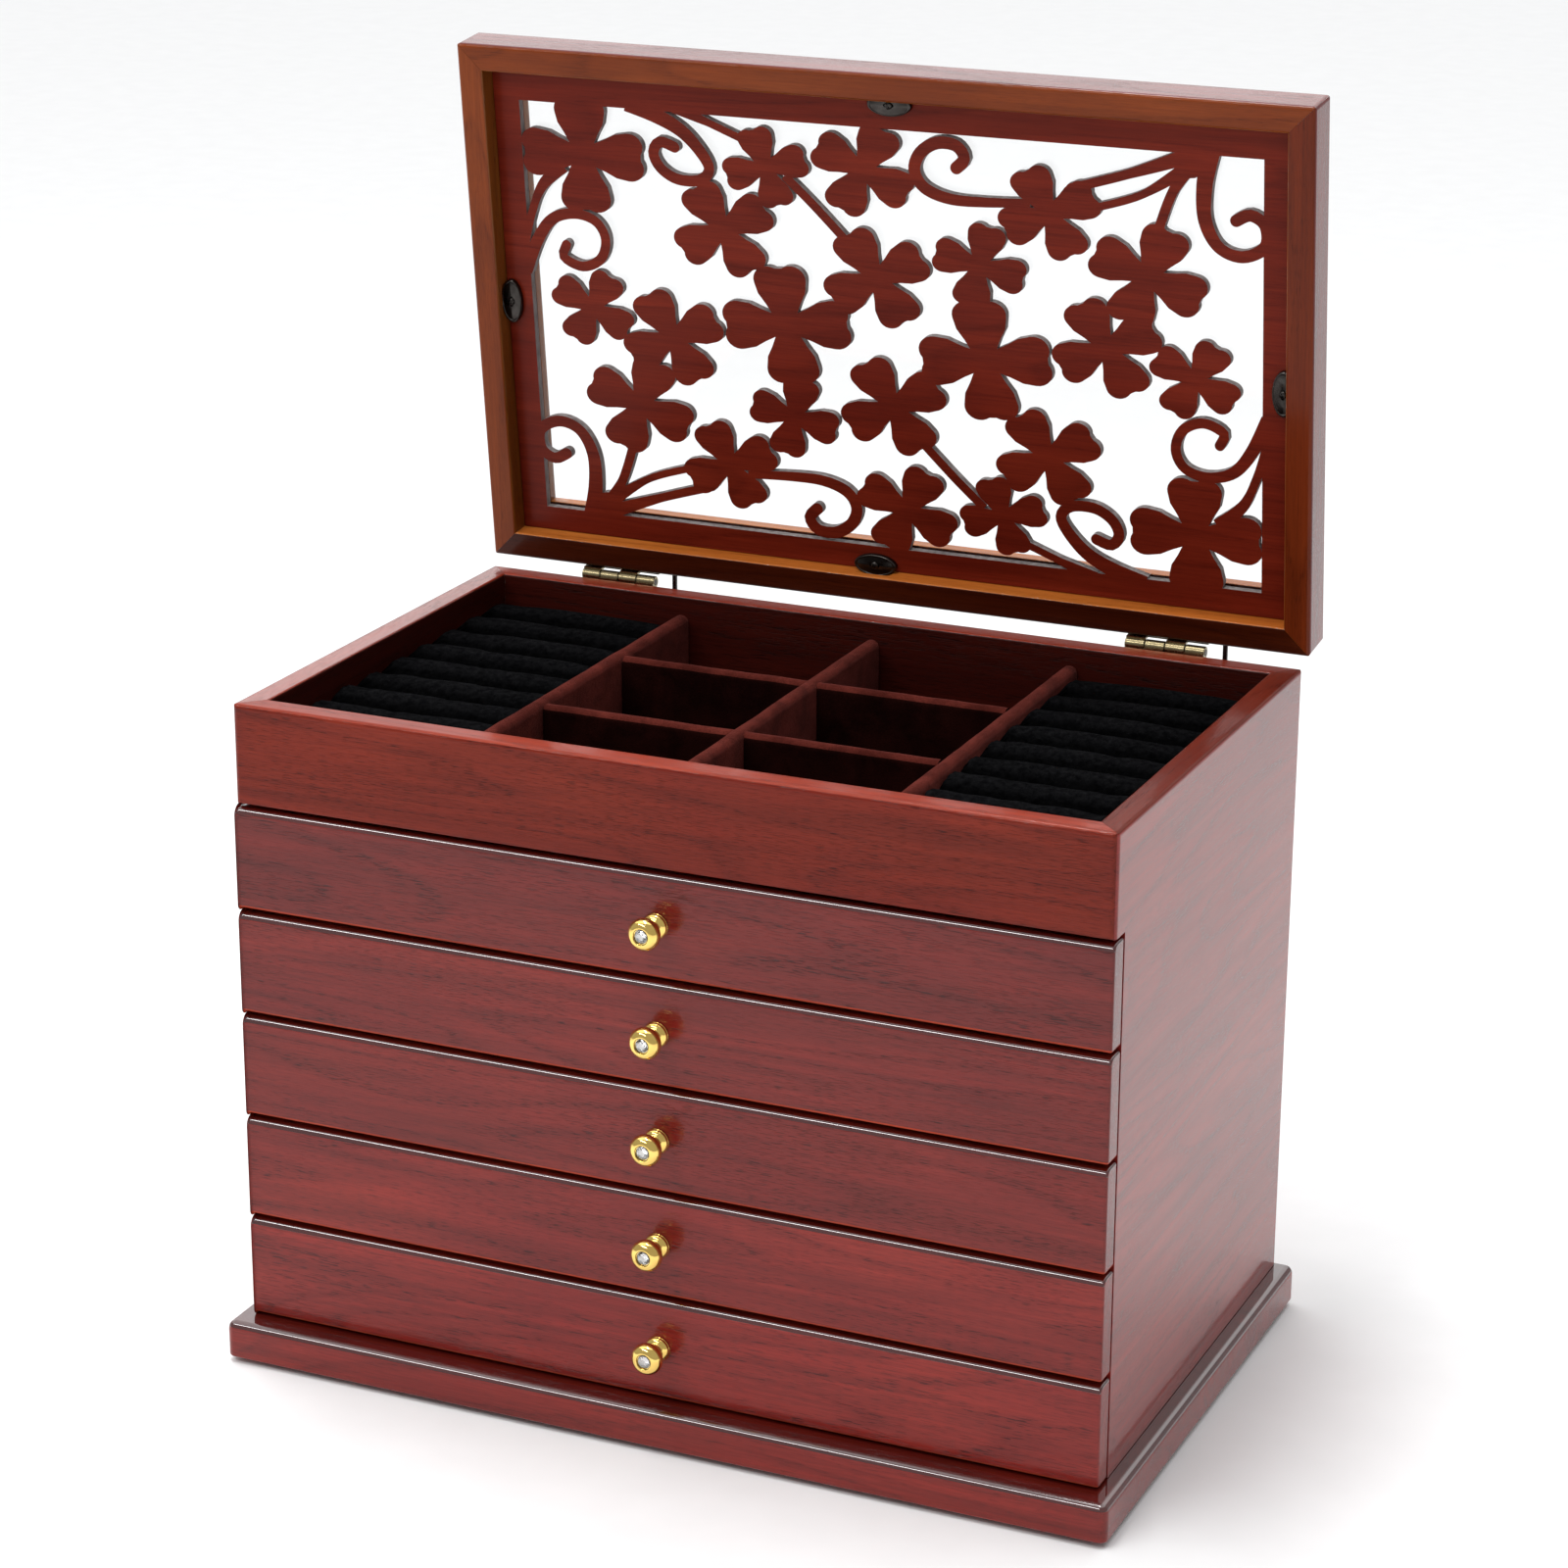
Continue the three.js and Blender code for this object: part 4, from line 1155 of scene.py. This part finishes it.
def build_plates():
    for name in ("front", "back", "left", "right"):
        low, high = closed_box(f"lid_plate_{name}")
        long_x = high.x - low.x > high.y - low.y
        a = max(high.x - low.x, high.y - low.y) / 2
        b = min(high.x - low.x, high.y - low.y) / 2
        middle = (low + high) / 2
        seat = Matrix.Translation((middle.x, middle.y, high.z)) @ Matrix.Rotation(math.pi, 4, "X")
        if not long_x:
            seat = seat @ Matrix.Rotation(math.pi / 2, 4, "Z")
        seat = LID @ seat
        squeeze = Matrix.Diagonal((a, b, 1, 1))
        piece(
            f"plate_{name}", plate_mesh(), "lid", [GUNMETAL],
            [f"lid_plate_{name}"], seat @ squeeze, 50, False,
        )
        head = lathe([(r * MM, h * MM) for r, h in SCREW_PROFILE], 32)
        head = cross_recess(head, 0.95 * MM, 0.2 * MM, 2.1 * MM, 4 * MM)
        piece(
            f"screw_{name}", head, "lid", [GUNMETAL], [f"lid_screw_{name}"],
            seat @ Matrix.Rotation(0.5, 4, "Z"), 40, False,
        )


def build_lid():
    build_lid_frame()
    build_fretwork()
    build_plates()
    recolour("lid_glass", GLASS)


# -------------------- the hinges
KNUCKLES = 4
BARREL_R = 2.4 * MM
PIN_R = 1.5 * MM
KNUCKLE_GAP = 0.24 * MM
LEAF_T = 0.9 * MM
LEAF_NEAR = 2.9 * MM
LEAF_FAR = 17.9 * MM


def rod(radius, x0, x1):
    """A round bar along X with softened ends."""
    edge = 0.25 * MM
    profile = [(0, x0), (radius - edge, x0), (radius, x0 + edge), (radius, x1 - edge)]
    profile += [(radius - edge, x1), (0, x1)]
    bm = lathe(profile, 32)
    bmesh.ops.transform(bm, matrix=Matrix.Rotation(math.pi / 2, 4, "Y"), verts=bm.verts)
    return bm


def leaf(up, first, length, plate_y):
    """One leaf with its knuckles, from the hinge axis; up is 1 for the lid and -1 for the box."""
    half = length / 2
    near, far = sorted((up * LEAF_NEAR, up * LEAF_FAR))
    plate = block(Vector((-half, plate_y, near)), Vector((half, plate_y + LEAF_T, far)))
    soften(plate, 0.25 * MM, lambda e: True, 2)
    parts = [plate]
    pitch = length / KNUCKLES
    for i in range(first, KNUCKLES, 2):
        x0 = -half + i * pitch + KNUCKLE_GAP / 2
        x1 = x0 + pitch - KNUCKLE_GAP
        parts.append(rod(BARREL_R, x0, x1))
        z0, z1 = sorted((0.0, up * (LEAF_NEAR + 0.5 * MM)))
        parts.append(block(Vector((x0, plate_y, z0)), Vector((x1, plate_y + LEAF_T, z1))))
    for x in (-0.32 * length, 0, 0.32 * length):
        z = up * (LEAF_NEAR + 9.5 * MM if x else LEAF_NEAR + 5.5 * MM)
        head = lathe(
            [(0, 0), (1.5 * MM, 0), (1.35 * MM, 0.35 * MM), (0.7 * MM, 0.5 * MM), (0, 0.52 * MM)],
            20,
        )
        place = Matrix.Translation((x, plate_y + LEAF_T, z)) @ Matrix.Rotation(-math.pi / 2, 4, "X")
        bmesh.ops.transform(head, matrix=place, verts=head.verts)
        parts.append(head)
    return merged(*parts)


def build_hinges():
    for name in ("left", "right"):
        low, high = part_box(f"hinge_{name}_pin")
        centre_x, length = (low.x + high.x) / 2, high.x - low.x
        plate_y = BACK_Y - AXIS.y + GAP
        at_axis = Matrix.Translation((centre_x, AXIS.y, AXIS.z))
        piece(
            f"hinge_{name}_box_side", leaf(-1, 1, length, plate_y), "chest", [ANTIQUE_BRASS],
            [f"hinge_{name}_box_leaf"], at_axis, 35, False,
        )
        swing = LID @ Matrix.Translation((centre_x, 0, 0))
        piece(
            f"hinge_{name}_lid_side", leaf(1, 0, length, plate_y), "lid", [ANTIQUE_BRASS],
            [f"hinge_{name}_lid_leaf"], swing, 35, False,
        )
        half = length / 2
        piece(
            f"hinge_{name}_core", rod(PIN_R, -half, half), "chest", [GUNMETAL],
            [f"hinge_{name}_pin"], at_axis, 35, False,
        )
        recolour(f"lid_stop_{name}", GUNMETAL)


# -------------------- light, floor and camera
LIGHT_TARGET = (0, 0, 0.2)


def area_light(name, place, size, power):
    """A white softbox that points at the chest."""
    data = bpy.data.lights.new(name, "AREA")
    data.shape = "RECTANGLE"
    data.size, data.size_y = size
    data.energy = power
    light = bpy.data.objects.new(name, data)
    light.location = place
    aim = Vector(LIGHT_TARGET) - Vector(place)
    light.rotation_euler = aim.to_track_quat("-Z", "Y").to_euler()
    SCENE.collection.objects.link(light)


def build_stage():
    n = Nodes("floor_paper")
    speckle = n.noise(n.coordinates, scale=40, detail=2)
    n.feed("Base Color", n.ramp(speckle, (0.3, 0.88), (0.7, 0.9)))
    n.set(Roughness=0.9, Specular_IOR_Level=0.1)
    mesh = bpy.data.meshes.new("floor")
    reach = 9.0
    corners = [(-reach, -reach, 0), (reach, -reach, 0), (reach, reach, 0), (-reach, reach, 0)]
    mesh.from_pydata(corners, [], [(0, 1, 2, 3)])
    mesh.materials.append(n.material)
    floor = bpy.data.objects.new("floor", mesh)
    SCENE.collection.objects.link(floor)

    world = bpy.data.worlds.new("studio")
    SCENE.world = world
    world.use_nodes = True
    sky = world.node_tree.nodes["Background"].inputs
    sky["Color"].default_value = (0.97, 0.985, 1.0, 1)
    sky["Strength"].default_value = 0.45
    sun = bpy.data.lights.new("sky_glow", "SUN")
    sun.energy, sun.angle = 2.1, math.radians(95)
    glow = bpy.data.objects.new("sky_glow", sun)
    glow.rotation_euler = Vector((0.25, -0.45, -0.86)).to_track_quat("-Z", "Y").to_euler()
    SCENE.collection.objects.link(glow)
    area_light("top_strip", (-0.25, -0.15, 2.0), (1.0, 0.26), 15)
    area_light("key_box", (-0.70, -1.35, 1.70), (1.5, 0.16), 13)
    SCENE.view_settings.view_transform = "Standard"


def build_camera():
    data = bpy.data.cameras.new("camera")
    data.sensor_width = 36
    data.lens = 95.81
    data.clip_start, data.clip_end = 0.05, 60
    camera = bpy.data.objects.new("camera", data)
    azimuth, elevation, roll = math.radians(23.904), math.radians(18.736), math.radians(0.258)
    camera.location = (0.5961, -1.3325, 0.7184)
    flat = math.cos(elevation)
    ahead = Vector((-math.sin(azimuth) * flat, math.cos(azimuth) * flat, -math.sin(elevation)))
    camera.rotation_mode = "QUATERNION"
    level = ahead.to_track_quat("-Z", "Y")
    camera.rotation_quaternion = level @ Quaternion((0, 0, 1), roll)
    SCENE.collection.objects.link(camera)
    SCENE.camera = camera


build_camera()
build_stage()
build_case()
build_plinth()
build_drawers()
build_tray()
build_rolls("left", 3.0)
build_rolls("right", 9.0)
build_lid()
build_hinges()
